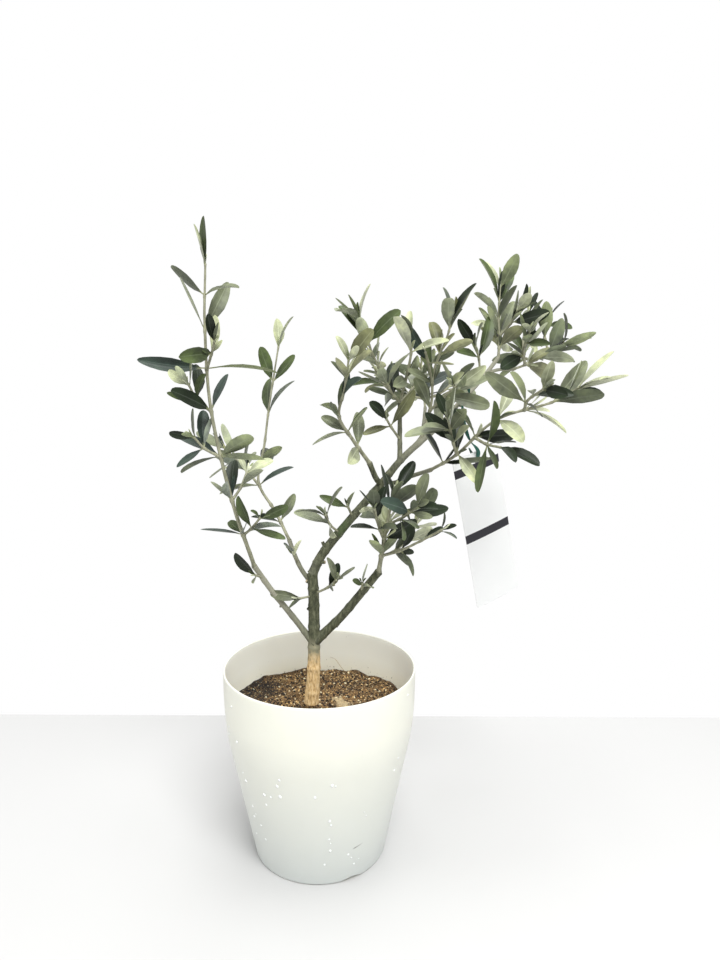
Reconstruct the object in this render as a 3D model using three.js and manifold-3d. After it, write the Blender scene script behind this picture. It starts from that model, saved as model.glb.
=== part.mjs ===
// Young olive tree in a round white nursery pot, with a blank hang tag tied to an upper bough.
// Millimetres, +Z up. The origin is the centre of the pot's flat underside. Seen from its
// front, the tree has +X to the right and +Y leading away.

import * as THREE from "three";
import { mergeVertices } from "three/addons/utils/BufferGeometryUtils.js";
import Module from "manifold-3d";

const wasm = await Module();
wasm.setup();

// Driving dimensions

const clearance = 0.3; // left between pieces that meet

const pot = {
  height: 153.5,
  rimRadius: 75,
  footRadius: 52,
  shoulderHeight: 100, // a straight cone up to here, then the wall turns upright
  shoulderRadius: 72.2,
  bendHeights: [112, 128],
  wall: 1.6,
  floor: 4.4,
  footRounding: 2.2,
  segments: 48,
};
const drainArch = { width: 19, height: 2.8, depth: 13, turns: [-60, 120] }; // arches under the foot

const soil = {
  height: 118.5,
  lump: 1.5,
  segments: 32,
  rings: 6,
  levelRadius: 11, // level round the trunk, then
  fadeWidth: 16, // rising to its full unevenness over this width
};
const groundHeight = soil.height + clearance; // the trunk's flat cut

const tag = {
  width: 46,
  height: 126,
  thickness: 0.5,
  corner: 2,
  hole: [120.5, 16, 315],
  holeRadius: 1.15,
  holeInset: 6,
  turn: 32,
  tilt: -14,
};
// The tie's loop goes round bough_upper_right at loopAt of its length, with a free end above it;
// its two strands run down to the tag's hole through the points of drop.
const tie = {
  radius: 0.8,
  sides: 5,
  steps: 44,
  loopAt: 0.6,
  loopFrom: -60,
  loopTurn: 290,
  loopPitch: 3.2,
  loopGap: 0.8, // between the loop and the bough, before its bends are cut short
  freeEnd: [[-1.5, -1.5, 15], [-1.2, -1.2, 6]],
  drop: [[109, 15.5, 360], [109, 12, 346], [114, 10, 331]],
};

// Each limb starts on the axis of the limb that carries it, at a fraction of that limb's length,
// and then follows its own points. foot and tip are its radii, collar is the swelling at its foot.
// The trunk's path starts below the soil's surface and the trunk is cut flat at groundHeight.
const limbs = {
  trunk: {
    path: [[-7.4, -8, 113], [-4.4, -8, 150], [-4, -7, 179], [-4, -6, 208], [-5, -5, 229]],
    foot: 5, tip: 3.85, collar: 1.8, sides: 12, steps: 15,
  },
  bough_left: {
    on: ["trunk", 0.45], path: [[-17, -7.5, 191.5], [-35.5, -10, 217], [-48, -13, 237]],
    foot: 2.4, tip: 2, collar: 0.7, sides: 8, steps: 8,
  },
  bough_lower_right: {
    on: ["trunk", 0.46], path: [[5, -9, 184], [18, -14, 199], [32, -20, 218.5], [45, -26, 237]],
    foot: 3.6, tip: 2.8, collar: 0.7, sides: 8, steps: 9,
  },
  bough_inner_left: {
    on: ["trunk", 0.89], path: [[-13, -3, 231], [-18.5, -1, 242], [-23, 3, 253]],
    foot: 1.8, tip: 1.6, collar: 0.6, sides: 8, steps: 5,
  },
  leader: {
    on: ["trunk", 1], path: [[3, -5, 245], [22, -4, 269], [47, 0, 298], [64, 4, 318], [89, 9, 340]],
    foot: 3.75, tip: 2.2, collar: 0, sides: 10, steps: 16,
  },
  bough_centre_left: {
    on: ["leader", 0.6], path: [[43, -5, 303], [38, -9, 315]],
    foot: 2.3, tip: 2, collar: 0.5, sides: 8, steps: 4,
  },
  bough_far_right: {
    on: ["leader", 0.625], path: [[56, -7, 300], [66, -12, 305], [82, -21, 312]],
    foot: 1.7, tip: 1.5, collar: 0.4, sides: 8, steps: 6,
  },
  bough_centre: {
    on: ["leader", 0.77], path: [[61, 7, 328], [61, 9, 337], [61, 14, 358]],
    foot: 1.9, tip: 1.6, collar: 0.5, sides: 8, steps: 6,
  },
  bough_back: {
    on: ["leader", 0.87], path: [[79, 20, 333], [81, 34, 339], [84, 56, 351]],
    foot: 1.6, tip: 1.3, collar: 0.4, sides: 8, steps: 7,
  },
  bough_upper_right: {
    on: ["leader", 0.955], path: [[96, 13, 346], [105, 18, 356], [123, 26, 374], [138, 33, 392]],
    foot: 2, tip: 1.5, collar: 0.4, sides: 8, steps: 10,
  },
  bough_outer_right: {
    on: ["bough_upper_right", 0.84], path: [[140, 35, 383], [151, 39, 383]],
    foot: 1.3, tip: 1.2, collar: 0.3, sides: 8, steps: 4,
  },
};

// Each mass is one stem that bears opposite pairs of leaves at its nodes, each pair a quarter turn
// on from the last, with side shoots from some nodes and a second, small leaf in some axils.
// leaf is a leaf's length, or one length for each node; spread is the angle between the low leaves
// and their twig, or one angle for each node; turn is the angle of the first pair. seeds has one seed
// for each flush of growth; axils is the share of the axils that bear a second leaf, and axilSeed is
// their seed.
const masses = {
  foliage_left: {
    on: ["bough_left", 1], radii: [2, 0.9], nodes: 8, spread: [90, 52, 104, 64, 92, 46, 54, 12], turn: 15,
    seeds: [316, 130, 170, 365], axils: 0.5, axilSeed: 770,
    path: [[-62, -22, 289], [-74, -28, 354], [-76, -32, 410], [-74, -34, 454]],
    leaf: [30, 27, 46, 34, 50, 36, 30, 32],
    shoots: [
      { node: 3, path: [[-79, -30, 328], [-86, -34, 337]], nodes: 2, leaf: 24, turn: 135, seed: 167 },
      { node: 4, path: [[-82, -34, 362], [-87, -40, 374]], nodes: 2, leaf: 24, turn: 135, seed: 167 },
      { node: 2, path: [[-57, -14, 297], [-53, -6, 308]], nodes: 2, leaf: 20, turn: 90, seed: 215 },
      { node: 1, path: [[-48, -26, 269], [-40, -34, 279]], nodes: 2, leaf: 20, turn: 22, seed: 215 },
      { node: 5, path: [[-70, -42, 394], [-66, -50, 403]], nodes: 2, leaf: 22, turn: 90, seed: 224 },
    ],
  },
  foliage_inner_left: {
    on: ["bough_inner_left", 1], radii: [1.6, 0.8], nodes: 8, spread: 66, turn: -15,
    seeds: [303, 175, 126, 359], axils: 0.5, axilSeed: 710,
    path: [[-34, 9, 274], [-48, 18, 296], [-44, 26, 324], [-40, 31, 356], [-33, 36, 400]],
    leaf: [22, 24, 30, 24, 30, 33, 26, 24],
    shoots: [
      { node: 3, path: [[-62, 26, 308], [-77, 36, 320]], nodes: 3, leaf: 28, turn: 112, seed: 58 },
    ],
  },
  sprig_leader_low: {
    on: ["leader", 0.34], radii: [1.2, 1], nodes: 2, spread: 48, turn: 67,
    seeds: [57], axils: 0,
    path: [[9, -16, 270], [6, -22, 279]], leaf: [26, 24], shoots: [],
  },
  sprig_leader_high: {
    on: ["leader", 0.43], radii: [1.2, 1], nodes: 1, spread: 48, turn: 22,
    seeds: [56], axils: 0,
    path: [[22, -12, 283]], leaf: [22], shoots: [],
  },
  foliage_centre_left: {
    on: ["bough_centre_left", 1], radii: [1.9, 0.8], nodes: 6, spread: 70, turn: 112,
    seeds: [327, 457, 486], axils: 0.55, axilSeed: 690,
    path: [[26, -19, 333], [16, -28, 351], [20, -35, 370], [23, -42, 391]],
    leaf: [30, 27, 30, 24, 25, 22],
    shoots: [],
  },
  foliage_centre: {
    on: ["bough_centre", 1], radii: [1.5, 0.8], nodes: 5, spread: 52, turn: 135,
    seeds: [130, 72, 59], axils: 0.65, axilSeed: 1210,
    path: [[54, 9, 367], [42, 2, 390], [30, -6, 419]],
    leaf: [24, 27, 25, 30, 26],
    shoots: [
      {
        node: 0, path: [[70, 22, 367], [78, 30, 376], [85, 38, 389]],
        nodes: 3, leaf: 26, turn: 45, seed: 6,
      },
      {
        node: 0, path: [[64, -4, 376], [67, -14, 395], [65, -18, 406]],
        nodes: 3, leaf: 26, turn: 90, seed: 5,
      },
      { node: 1, path: [[46, 24, 376], [40, 36, 388]], nodes: 3, leaf: 24, turn: 0, seed: 20 },
    ],
  },
  sprig_centre: {
    on: ["bough_centre", 0.45], radii: [1.2, 1], nodes: 2, spread: 48, turn: 157,
    seeds: [118], axils: 0,
    path: [[54, 0, 341], [50, -8, 348]], leaf: [25, 22], shoots: [],
  },
  foliage_top_centre: {
    on: ["leader", 0.905], radii: [1.4, 0.8], nodes: 5, spread: 50, turn: 22,
    seeds: [128, 17, 30], axils: 0.65, axilSeed: 660,
    path: [[84, 5, 358], [85, 2, 382], [94, -4, 408], [96, -6, 419]],
    leaf: [24, 27, 25, 27, 26],
    shoots: [
      { node: 2, path: [[80, -10, 388], [77, -18, 396]], nodes: 2, leaf: 22, turn: 67, seed: 189 },
      { node: 1, path: [[92, -6, 364], [100, -16, 372]], nodes: 2, leaf: 26, turn: 0, seed: 48 },
    ],
  },
  sprig_upper: {
    on: ["bough_upper_right", 0.36], radii: [1.1, 0.9], nodes: 2, spread: 48, turn: 0,
    seeds: [123], axils: 0,
    path: [[102, 6, 366], [99, -1, 373]], leaf: [24, 24], shoots: [],
  },
  sprig_upper_left: {
    on: ["bough_upper_right", 0.76], radii: [1.1, 0.9], nodes: 2, spread: 48, turn: 135,
    seeds: [86], axils: 0,
    path: [[121, 20, 391], [117, 14, 401]], leaf: [28, 27], shoots: [],
  },
  foliage_right_top: {
    on: ["bough_upper_right", 1], radii: [1.4, 0.8], nodes: 5, spread: 40, turn: 45,
    seeds: [29, 113, 28], axils: 0.7, axilSeed: 280,
    path: [[139, 36, 405], [138, 38, 425], [139, 40, 447]],
    leaf: [24, 28, 26, 30, 31],
    shoots: [
      { node: 1, path: [[140, 50, 408], [143, 62, 420]], nodes: 3, leaf: 25, turn: 112, seed: 18 },
      { node: 2, path: [[146, 30, 418], [150, 24, 428]], nodes: 2, leaf: 25, turn: 22, seed: 26 },
    ],
  },
  foliage_outer_right: {
    on: ["bough_outer_right", 1], radii: [1.2, 0.8], nodes: 5, spread: 42, turn: 157,
    seeds: [80, 109, 129], axils: 0.7, axilSeed: 330,
    path: [[168, 47, 389], [185, 55, 398], [196, 60, 404]],
    leaf: [25, 28, 28, 26, 28],
    shoots: [
      { node: 1, path: [[161, 52, 406], [166, 60, 428]], nodes: 4, leaf: 24, turn: 67, seed: 204 },
      { node: 3, path: [[181, 66, 412], [187, 76, 426]], nodes: 3, leaf: 24, turn: 67, seed: 18 },
      { node: 1, path: [[156, 26, 398], [157, 12, 412]], nodes: 3, leaf: 26, turn: 135, seed: 18 },
      { node: 2, path: [[164, 68, 392], [166, 86, 398]], nodes: 3, leaf: 24, turn: 135, seed: 27 },
    ],
  },
  foliage_far_right: {
    on: ["bough_far_right", 1], radii: [1.5, 0.8], nodes: 8, spread: 56, turn: 157,
    seeds: [477, 437, 99, 190], axils: 0.6, axilSeed: 30,
    path: [[99, -33, 325], [123, -50, 351], [155, -68, 364], [170, -76, 374]],
    leaf: [30, 27, 28, 27, 33, 38, 28, 34],
    shoots: [
      { node: 3, path: [[116, -54, 335], [124, -64, 334]], nodes: 2, leaf: 28, turn: 0, seed: 57 },
      { node: 5, path: [[138, -76, 366], [144, -92, 374]], nodes: 3, leaf: 26, turn: 22, seed: 31 },
      { node: 2, path: [[94, -44, 338], [90, -54, 352]], nodes: 3, leaf: 24, turn: 67, seed: 128 },
    ],
  },
  foliage_lower_right: {
    on: ["bough_lower_right", 1], radii: [2.2, 0.9], nodes: 5, spread: 62, turn: 135,
    seeds: [50, 74, 63], axils: 0.7, axilSeed: 370,
    path: [[48, -30, 258], [51, -34, 278], [55, -38, 299]],
    leaf: [22, 24, 26, 26, 24],
    shoots: [
      {
        node: 1, path: [[58, -20, 252], [68, -14, 262], [76, -8, 277]],
        nodes: 4, leaf: 25, turn: 157, seed: 58,
      },
      {
        node: 1, path: [[60, -30, 254], [75, -32, 262], [89, -40, 272]],
        nodes: 3, leaf: 17, turn: 22, seed: 27,
      },
      { node: 2, path: [[44, -42, 276], [41, -52, 290]], nodes: 3, leaf: 20, turn: 22, seed: 46 },
      { node: 3, path: [[62, -50, 284], [70, -60, 294]], nodes: 3, leaf: 24, turn: 45, seed: 53 },
    ],
  },
  foliage_back: {
    on: ["bough_back", 1], radii: [1.3, 0.8], nodes: 4, spread: 56, turn: 0,
    seeds: [130, 75], axils: 0.6, axilSeed: 350,
    path: [[84, 76, 365], [83, 94, 381]],
    leaf: [26, 28, 27, 25],
    shoots: [
      { node: 1, path: [[98, 76, 362], [112, 88, 372]], nodes: 3, leaf: 26, turn: 135, seed: 17 },
      { node: 1, path: [[68, 76, 362], [54, 88, 374]], nodes: 3, leaf: 26, turn: 0, seed: 20 },
    ],
  },
  sprig_trunk_right: {
    on: ["trunk", 0.805], radii: [1.2, 1], nodes: 2, spread: 48, turn: 67,
    seeds: [46], axils: 0,
    path: [[7, -14, 221], [14, -20, 229]], leaf: [19, 18], shoots: [],
  },
  sprig_trunk_left: {
    on: ["trunk", 0.79], radii: [1.1, 1], nodes: 1, spread: 48, turn: 112,
    seeds: [17], axils: 0,
    path: [[-14, -13, 212]], leaf: [19], shoots: [],
  },
  sprig_lower_right: {
    on: ["bough_lower_right", 0.76], radii: [1.2, 1], nodes: 2, spread: 48, turn: 22,
    seeds: [112], axils: 0,
    path: [[33, -28, 229]], leaf: [16, 15], shoots: [],
  },
  sprig_left_low: {
    on: ["bough_left", 0.84], radii: [1.1, 0.9], nodes: 1, spread: 48, turn: 67,
    seeds: [31], axils: 0,
    path: [[-46.5, -19.5, 232]], leaf: [19], shoots: [],
  },
  sprig_inner_left: {
    on: ["bough_inner_left", 0.5], radii: [1.1, 0.9], nodes: 1, spread: 48, turn: 0,
    seeds: [27], axils: 0,
    path: [[-19, -8.5, 245]], leaf: [15], shoots: [],
  },
};

const shootRadii = [1.35, 0.95]; // of the three corners of a shoot
const leafForm = {
  widthShare: 0.4, // of its length
  widest: 10.5,
  thickness: 0.9, // from its flat underside to its ridge
  thickestAt: 0.42, // of its length, from the root
  outline: [[0.38, 1], [0.84, 0.62]], // how far along and how wide its corners are
  smallest: 0.02, // edges shorter than this go when the leaves are fused on
  petiole: 2,
  aboveNode: 1, // a leaf's root lies inside the twig, this far above its node
  belowTip: 1.6, // and this far below the twig's end at the last node
};
const growth = {
  flush: 2, // nodes that grew together
  missing: 0.12, // the share of the leaves that have dropped, below the last node
  spreadTip: 22, // degrees between a leaf and its twig at the twig's tip
  turnJitter: 24, // degrees either way
  spreadJitter: 20,
  rollJitter: 80,
  lengthJitter: 0.22,
  widthJitter: 0.2,
  axilTurn: 34, // how far a second leaf stands off beside the first, in degrees
  axilSpread: 0.62, // its spread and its length, as shares of the first leaf's
  axilLength: 0.72,
  upward: 0.6, // how far an upper face turns to the sky
  frontward: 0.35, // and to the front
  tries: 5, // positions tried before a leaf is skipped
  reach: 62, // a mass keeps within this distance of its own stem
  ownGap: 1.7, // between the leaves of one mass
  otherGap: 2.6, // from another mass's leaves
  limbGap: 1.5, // from limbs and twigs
};
const testing = {
  spacing: 3, // between the points that stand for a blade
  from: 0.28, // of its length, past its root
  acrossShares: [-0.8, 0, 0.8],
  barStations: 10,
  tieStations: 60,
  tagRows: 6,
  tagRadius: 2,
  farApart: 80, // leaves whose first points are farther apart can't touch
};

const colours = {
  pot: 0xeceae2,
  soil: 0x5b4a3a,
  bark: 0x6f6a52,
  trunk: 0x8f7f5c,
  foliage: 0x6d7a58,
  tag: 0xf6f6f4,
  tie: 0x0d5a4a,
};

// Shared helpers

const degrees = Math.PI / 180;
const yAxis = new THREE.Vector3(0, 1, 0);
const zAxis = new THREE.Vector3(0, 0, 1);
const vector = (triple) => new THREE.Vector3(...triple);
const mix = (from, to, share) => from + (to - from) * share;

function closed(geometry) {
  geometry.deleteAttribute("normal");
  geometry.deleteAttribute("uv");
  return mergeVertices(geometry, 1e-4);
}

function solidOf(geometry) {
  const merged = closed(geometry);
  const vertProperties = new Float32Array(merged.attributes.position.array);
  const triVerts = new Uint32Array(merged.index.array);
  return new wasm.Manifold(new wasm.Mesh({ numProp: 3, vertProperties, triVerts }));
}

function geometryOf(solid) {
  const mesh = solid.getMesh();
  const geometry = new THREE.BufferGeometry();
  geometry.setAttribute("position", new THREE.BufferAttribute(mesh.vertProperties, 3));
  geometry.setIndex(new THREE.BufferAttribute(mesh.triVerts, 1));
  return geometry;
}

// A number from 0 to 1 at each call, the same series for the same seed
function randomFrom(seed) {
  let state = Math.imul(seed, 2654435761) >>> 0;
  return () => {
    state = (Math.imul(state, 1664525) + 1013904223) >>> 0;
    return state / 4294967296;
  };
}

// Paths and frames

function curveOf(points) {
  const curve = new THREE.CatmullRomCurve3(points, false, "catmullrom", 0.5);
  return (share) => curve.getPoint(Math.min(Math.max(share, 0), 1));
}

// Where a path is at a share of its way, the way it heads, and two directions across it:
// side lies level with the front view, out points along the line of sight.
function frameAt(pointAt, share) {
  const step = 0.01;
  const ahead = pointAt(Math.min(share + step, 1)).sub(pointAt(Math.max(share - step, 0))).normalize();
  const side = ahead.clone().cross(yAxis).normalize();
  const out = side.clone().cross(ahead);
  return { point: pointAt(share), ahead, side, out };
}

// A tapered bar bent along a path. grow fattens it and makes it that much longer at both ends.
function taperedBar(pointAt, radiusAt, sides, steps, grow = 0) {
  const geometry = new THREE.CylinderGeometry(1, 1, 1, sides, steps);
  const position = geometry.attributes.position;
  for (let i = 0; i < position.count; i += 1) {
    const share = position.getY(i) + 0.5;
    const { point, ahead, side, out } = frameAt(pointAt, share);
    const radius = radiusAt(share) + grow / Math.cos(Math.PI / sides);
    if (share < 0.001) point.addScaledVector(ahead, -grow);
    if (share > 0.999) point.addScaledVector(ahead, grow);
    point.addScaledVector(side, position.getX(i) * radius);
    point.addScaledVector(out, position.getZ(i) * radius);
    position.setXYZ(i, point.x, point.y, point.z);
  }
  return geometry;
}

// Limbs

const collarFade = 11; // the swelling at a limb's foot is gone after about a fifth of its length

function layOutLimb(limb) {
  const points = limb.path.map(vector);
  if (limb.on) points.unshift(laidLimbs[limb.on[0]].pointAt(limb.on[1]));
  const pointAt = curveOf(points);
  const radiusAt = (share) => mix(limb.foot, limb.tip, share) + limb.collar * Math.exp(-share * collarFade);
  return { ...limb, pointAt, radiusAt };
}

const laidLimbs = {};
for (const [name, limb] of Object.entries(limbs)) laidLimbs[name] = layOutLimb(limb);

const limbSolid = (limb, grow) =>
  solidOf(taperedBar(limb.pointAt, limb.radiusAt, limb.sides, limb.steps, grow));

// Twigs and leaves

function layOutTwig(points, { nodes, leaf, turn }, radii, spread, seeds) {
  const pointAt = curveOf(points);
  const radiusAt = (share) => mix(radii[0], radii[1], share);
  const lengths = [];
  const angles = [];
  for (let node = 1; node <= nodes; node += 1) {
    const share = node / nodes;
    lengths.push(Array.isArray(leaf) ? leaf[node - 1] : leaf * mix(0.86, 1.08, Math.sin(Math.PI * share)));
    angles.push(Array.isArray(spread) ? spread[node - 1] : mix(spread, growth.spreadTip, share ** 3));
  }
  return { pointAt, radiusAt, nodes, lengths, angles, turn, seeds };
}

function growTwigs(mass) {
  const start = laidLimbs[mass.on[0]].pointAt(mass.on[1]);
  const stem = layOutTwig([start, ...mass.path.map(vector)], mass, mass.radii, mass.spread, mass.seeds);
  const twigs = [stem];
  const shootSpread = [mass.spread].flat()[0];
  for (const shoot of mass.shoots) {
    const foot = stem.pointAt(shoot.node / mass.nodes);
    const points = [foot, ...shoot.path.map(vector)];
    twigs.push(layOutTwig(points, shoot, shootRadii, shootSpread, [shoot.seed]));
  }
  return twigs;
}

// One leaf: where it starts, the way it points, the way its blade runs across, and its upper face.
// Sides 0 and 1 of a node face away from each other.
function placeLeaf(twig, node, side, second, random) {
  const share = node / twig.nodes;
  const frame = frameAt(twig.pointAt, share);
  const jitter = () => 2 * random() - 1;
  const turn = twig.turn + 90 * (node - 1) + 180 * side + jitter() * growth.turnJitter;
  const angle = (turn + (second ? growth.axilTurn : 0)) * degrees;
  const away = frame.side.clone().multiplyScalar(Math.cos(angle));
  away.addScaledVector(frame.out, Math.sin(angle));
  const open = twig.angles[node - 1] * (second ? growth.axilSpread : 1);
  const spread = (open + jitter() * growth.spreadJitter) * degrees;
  const point = frame.ahead.clone().multiplyScalar(Math.cos(spread));
  point.addScaledVector(away, Math.sin(spread)).normalize();
  const face = frame.ahead.clone();
  face.addScaledVector(zAxis, growth.upward).addScaledVector(yAxis, -growth.frontward);
  face.addScaledVector(point, -face.dot(point)).normalize();
  face.applyAxisAngle(point, jitter() * growth.rollJitter * degrees);
  const full = twig.lengths[node - 1] * (second ? growth.axilLength : 1);
  const blade = full * (1 + jitter() * growth.lengthJitter);
  const usualWidth = Math.min(blade * leafForm.widthShare, leafForm.widest);
  const rootShift = node < twig.nodes ? leafForm.aboveNode : -leafForm.belowTip;
  return {
    root: frame.point.addScaledVector(frame.ahead, rootShift),
    point,
    face,
    across: point.clone().cross(face),
    length: blade + leafForm.petiole,
    width: usualWidth * (1 + jitter() * growth.widthJitter),
  };
}

// Points spread over a blade, to test what lies near it
function bladePoints(leaf) {
  const points = [];
  const rows = Math.ceil(leaf.length / testing.spacing);
  for (let row = 1; row <= rows; row += 1) {
    const along = row / rows;
    if (along < testing.from) continue;
    const half = 0.5 * leaf.width * Math.min(1, 4 * (1 - along) + 0.1);
    for (const place of testing.acrossShares) {
      points.push(leaf.root.clone().addScaledVector(leaf.point, along * leaf.length)
        .addScaledVector(leaf.across, place * half));
    }
  }
  return points;
}

function barPieces(bar, stations = testing.barStations) {
  const pieces = [];
  for (let i = 0; i < stations; i += 1) {
    const segment = new THREE.Line3(bar.pointAt(i / stations), bar.pointAt((i + 1) / stations));
    pieces.push({ segment, radius: bar.radiusAt((i + 0.5) / stations), bar });
  }
  return pieces;
}

const nearest = new THREE.Vector3();
function hitsBar(point, piece, gap) {
  piece.segment.closestPointToPoint(point, true, nearest);
  return nearest.distanceTo(point) < piece.radius + gap;
}

// Tag and tie, laid out before the leaves so that the leaves keep clear of them

const tagTurn = new THREE.Quaternion().setFromAxisAngle(zAxis, tag.turn * degrees)
  .multiply(new THREE.Quaternion().setFromAxisAngle(yAxis, tag.tilt * degrees));
const tagPlace = (across, through, up) =>
  new THREE.Vector3(across, through, up).applyQuaternion(tagTurn).add(vector(tag.hole));

function tiePath() {
  const bough = laidLimbs.bough_upper_right;
  const { point, ahead, side, out } = frameAt(bough.pointAt, tie.loopAt);
  const loopRadius = bough.radiusAt(tie.loopAt) + tie.radius + tie.loopGap;
  const loop = [];
  for (let turn = 0; turn <= tie.loopTurn; turn += tie.loopTurn / 6) {
    const angle = (turn + tie.loopFrom) * degrees;
    loop.push(point.clone()
      .addScaledVector(side, -loopRadius * Math.cos(angle))
      .addScaledVector(out, loopRadius * Math.sin(angle))
      .addScaledVector(ahead, tie.loopPitch * (0.5 - turn / tie.loopTurn)));
  }
  const freeEnd = tie.freeEnd.map((shift) => loop[0].clone().add(vector(shift)));
  // Down in front of the card, through its hole and up a little way behind it
  const eye = [[0, -3.4, 8], [0, -2.6, 2.4], [0, 0, 0], [0, 2.8, 2.2], [-2, 3.6, 9]];
  return [...freeEnd, ...loop, ...tie.drop.map(vector), ...eye.map((place) => tagPlace(...place))];
}
const tieBar = { pointAt: curveOf(tiePath()), radiusAt: () => tie.radius };

// Growing the crown

const obstacles = barPieces(tieBar, testing.tieStations);
for (const limb of Object.values(laidLimbs)) obstacles.push(...barPieces(limb));
for (let row = 0; row < testing.tagRows; row += 1) {
  const up = tag.holeInset - (tag.height * row) / (testing.tagRows - 1);
  const segment = new THREE.Line3(tagPlace(-tag.width / 2, 0, up), tagPlace(tag.width / 2, 0, up));
  obstacles.push({ segment, radius: testing.tagRadius, bar: null });
}

const grown = {};
for (const [name, mass] of Object.entries(masses)) {
  const twigs = growTwigs(mass);
  grown[name] = { twigs, leaves: [] };
  for (const twig of twigs) obstacles.push(...barPieces(twig));
}

const blades = []; // { points, owner } of each leaf that is kept
function keepsClear(points, owner, twig) {
  const stem = grown[owner].twigs[0];
  const tip = points[points.length - 2];
  if (!obstacles.some((piece) => piece.bar === stem && hitsBar(tip, piece, growth.reach))) return false;
  for (const piece of obstacles) {
    if (piece.bar === twig) continue;
    if (points.some((point) => hitsBar(point, piece, growth.limbGap))) return false;
  }
  for (const blade of blades) {
    const gap = blade.owner === owner ? growth.ownGap : growth.otherGap;
    if (blade.points[0].distanceTo(points[0]) > testing.farApart) continue;
    if (points.some((point) => blade.points.some((other) => other.distanceTo(point) < gap))) return false;
  }
  return true;
}

function growLeaf(name, twig, node, side, second, random) {
  for (let attempt = 0; attempt < growth.tries; attempt += 1) {
    const leaf = placeLeaf(twig, node, side, second, random);
    const points = bladePoints(leaf);
    if (keepsClear(points, name, twig)) {
      grown[name].leaves.push(leaf);
      blades.push({ points, owner: name });
      return;
    }
  }
}

// First leaves draw from their flush's seed, and second leaves from the mass's own for them
function leafRandom(mass, twig, number, place, second) {
  if (second) return randomFrom((mass.axilSeed + number) * 1000 + 500 + place);
  const flush = Math.floor(place / 2 / growth.flush);
  return randomFrom(twig.seeds[Math.min(flush, twig.seeds.length - 1)] * 1000 + place);
}

for (const second of [false, true]) {
  for (const [name, mass] of Object.entries(masses)) {
    if (second && mass.axils === 0) continue;
    for (const [number, twig] of grown[name].twigs.entries()) {
      for (let place = 0; place < 2 * twig.nodes; place += 1) {
        const node = 1 + Math.floor(place / 2);
        const dropped = node < twig.nodes ? growth.missing : 0;
        const random = leafRandom(mass, twig, number, place, second);
        if (random() < (second ? 1 - mass.axils : dropped)) continue;
        growLeaf(name, twig, node, place % 2, second, random);
      }
    }
  }
}

// Solids of the crown

// A ten-faced blade: root, tip and two pairs of edge corners in one plane, with a ridge on its
// upper face
const bladeFaces = [
  [0, 1, 6], [1, 2, 6], [2, 3, 6], [3, 4, 6], [4, 5, 6], [5, 0, 6],
  [1, 0, 5], [2, 1, 5], [4, 2, 5], [3, 2, 4],
];

function leafSolid(leaf) {
  const [low, high] = leafForm.outline;
  const corners = [
    [0, 0], [low[0], low[1]], [high[0], high[1]], [1, 0], [high[0], -high[1]], [low[0], -low[1]],
    [leafForm.thickestAt, 0],
  ];
  const places = corners.map(([along, across], number) => leaf.root.clone()
    .addScaledVector(leaf.point, along * leaf.length)
    .addScaledVector(leaf.across, (across * leaf.width) / 2)
    .addScaledVector(leaf.face, number === 6 ? leafForm.thickness : 0));
  const geometry = new THREE.BufferGeometry().setFromPoints(places);
  geometry.setIndex(bladeFaces.flat());
  return solidOf(geometry);
}

function massSolid(name) {
  const { twigs, leaves } = grown[name];
  const [stem, ...shoots] = twigs;
  const parts = leaves.map(leafSolid);
  parts.push(solidOf(taperedBar(stem.pointAt, stem.radiusAt, 5, stem.nodes * 2)));
  for (const shoot of shoots) parts.push(solidOf(taperedBar(shoot.pointAt, shoot.radiusAt, 3, shoot.nodes)));
  const carrier = laidLimbs[masses[name].on[0]];
  const fused = wasm.Manifold.union(parts).subtract(limbSolid(carrier, clearance));
  return fused.asOriginal().simplify(leafForm.smallest);
}

// Pot and soil

function wallRadius(height) {
  if (height <= pot.shoulderHeight) {
    return mix(pot.footRadius, pot.shoulderRadius, height / pot.shoulderHeight);
  }
  const share = (height - pot.shoulderHeight) / (pot.height - pot.shoulderHeight);
  return mix(pot.shoulderRadius, pot.rimRadius, 1 - (1 - share) ** 3);
}

function potGeometry() {
  const rounding = pot.footRounding;
  const foot = pot.footRadius;
  const outside = [[0, 0], [foot - rounding, 0], [foot - 0.3 * rounding, 0.3 * rounding]];
  const heights = [rounding, pot.shoulderHeight, ...pot.bendHeights, pot.height];
  for (const height of heights) outside.push([wallRadius(height), height]);
  const inside = heights.slice(1).reverse().map((height) => [wallRadius(height) - pot.wall, height]);
  const floor = [[wallRadius(pot.floor) - pot.wall, pot.floor], [0, pot.floor]];
  const profile = [...outside, ...inside, ...floor].map((corner) => new THREE.Vector2(...corner));
  const body = new THREE.LatheGeometry(profile, pot.segments);
  body.rotateX(90 * degrees);
  let solid = solidOf(body);
  const archRadius = (drainArch.width ** 2 / 4 + drainArch.height ** 2) / (2 * drainArch.height);
  for (const turn of drainArch.turns) {
    const arch = new THREE.CylinderGeometry(archRadius, archRadius, 2 * drainArch.depth, pot.segments);
    arch.translate(0, pot.footRadius, drainArch.height - archRadius);
    arch.rotateZ((turn - 90) * degrees);
    solid = solid.subtract(solidOf(arch));
  }
  return geometryOf(solid);
}

const trunkFoot = laidLimbs.trunk.pointAt(0);
function soilHeight(x, y) {
  const fromTrunk = Math.hypot(x - trunkFoot.x, y - trunkFoot.y);
  const fade = THREE.MathUtils.smoothstep(fromTrunk, soil.levelRadius, soil.levelRadius + soil.fadeWidth);
  const lumps = Math.sin(x * 0.11 + 1.2) * Math.cos(y * 0.13 - 0.4) + 0.5 * Math.sin(x * 0.27 - y * 0.19);
  return soil.height + fade * soil.lump * (lumps - 0.4);
}

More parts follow.
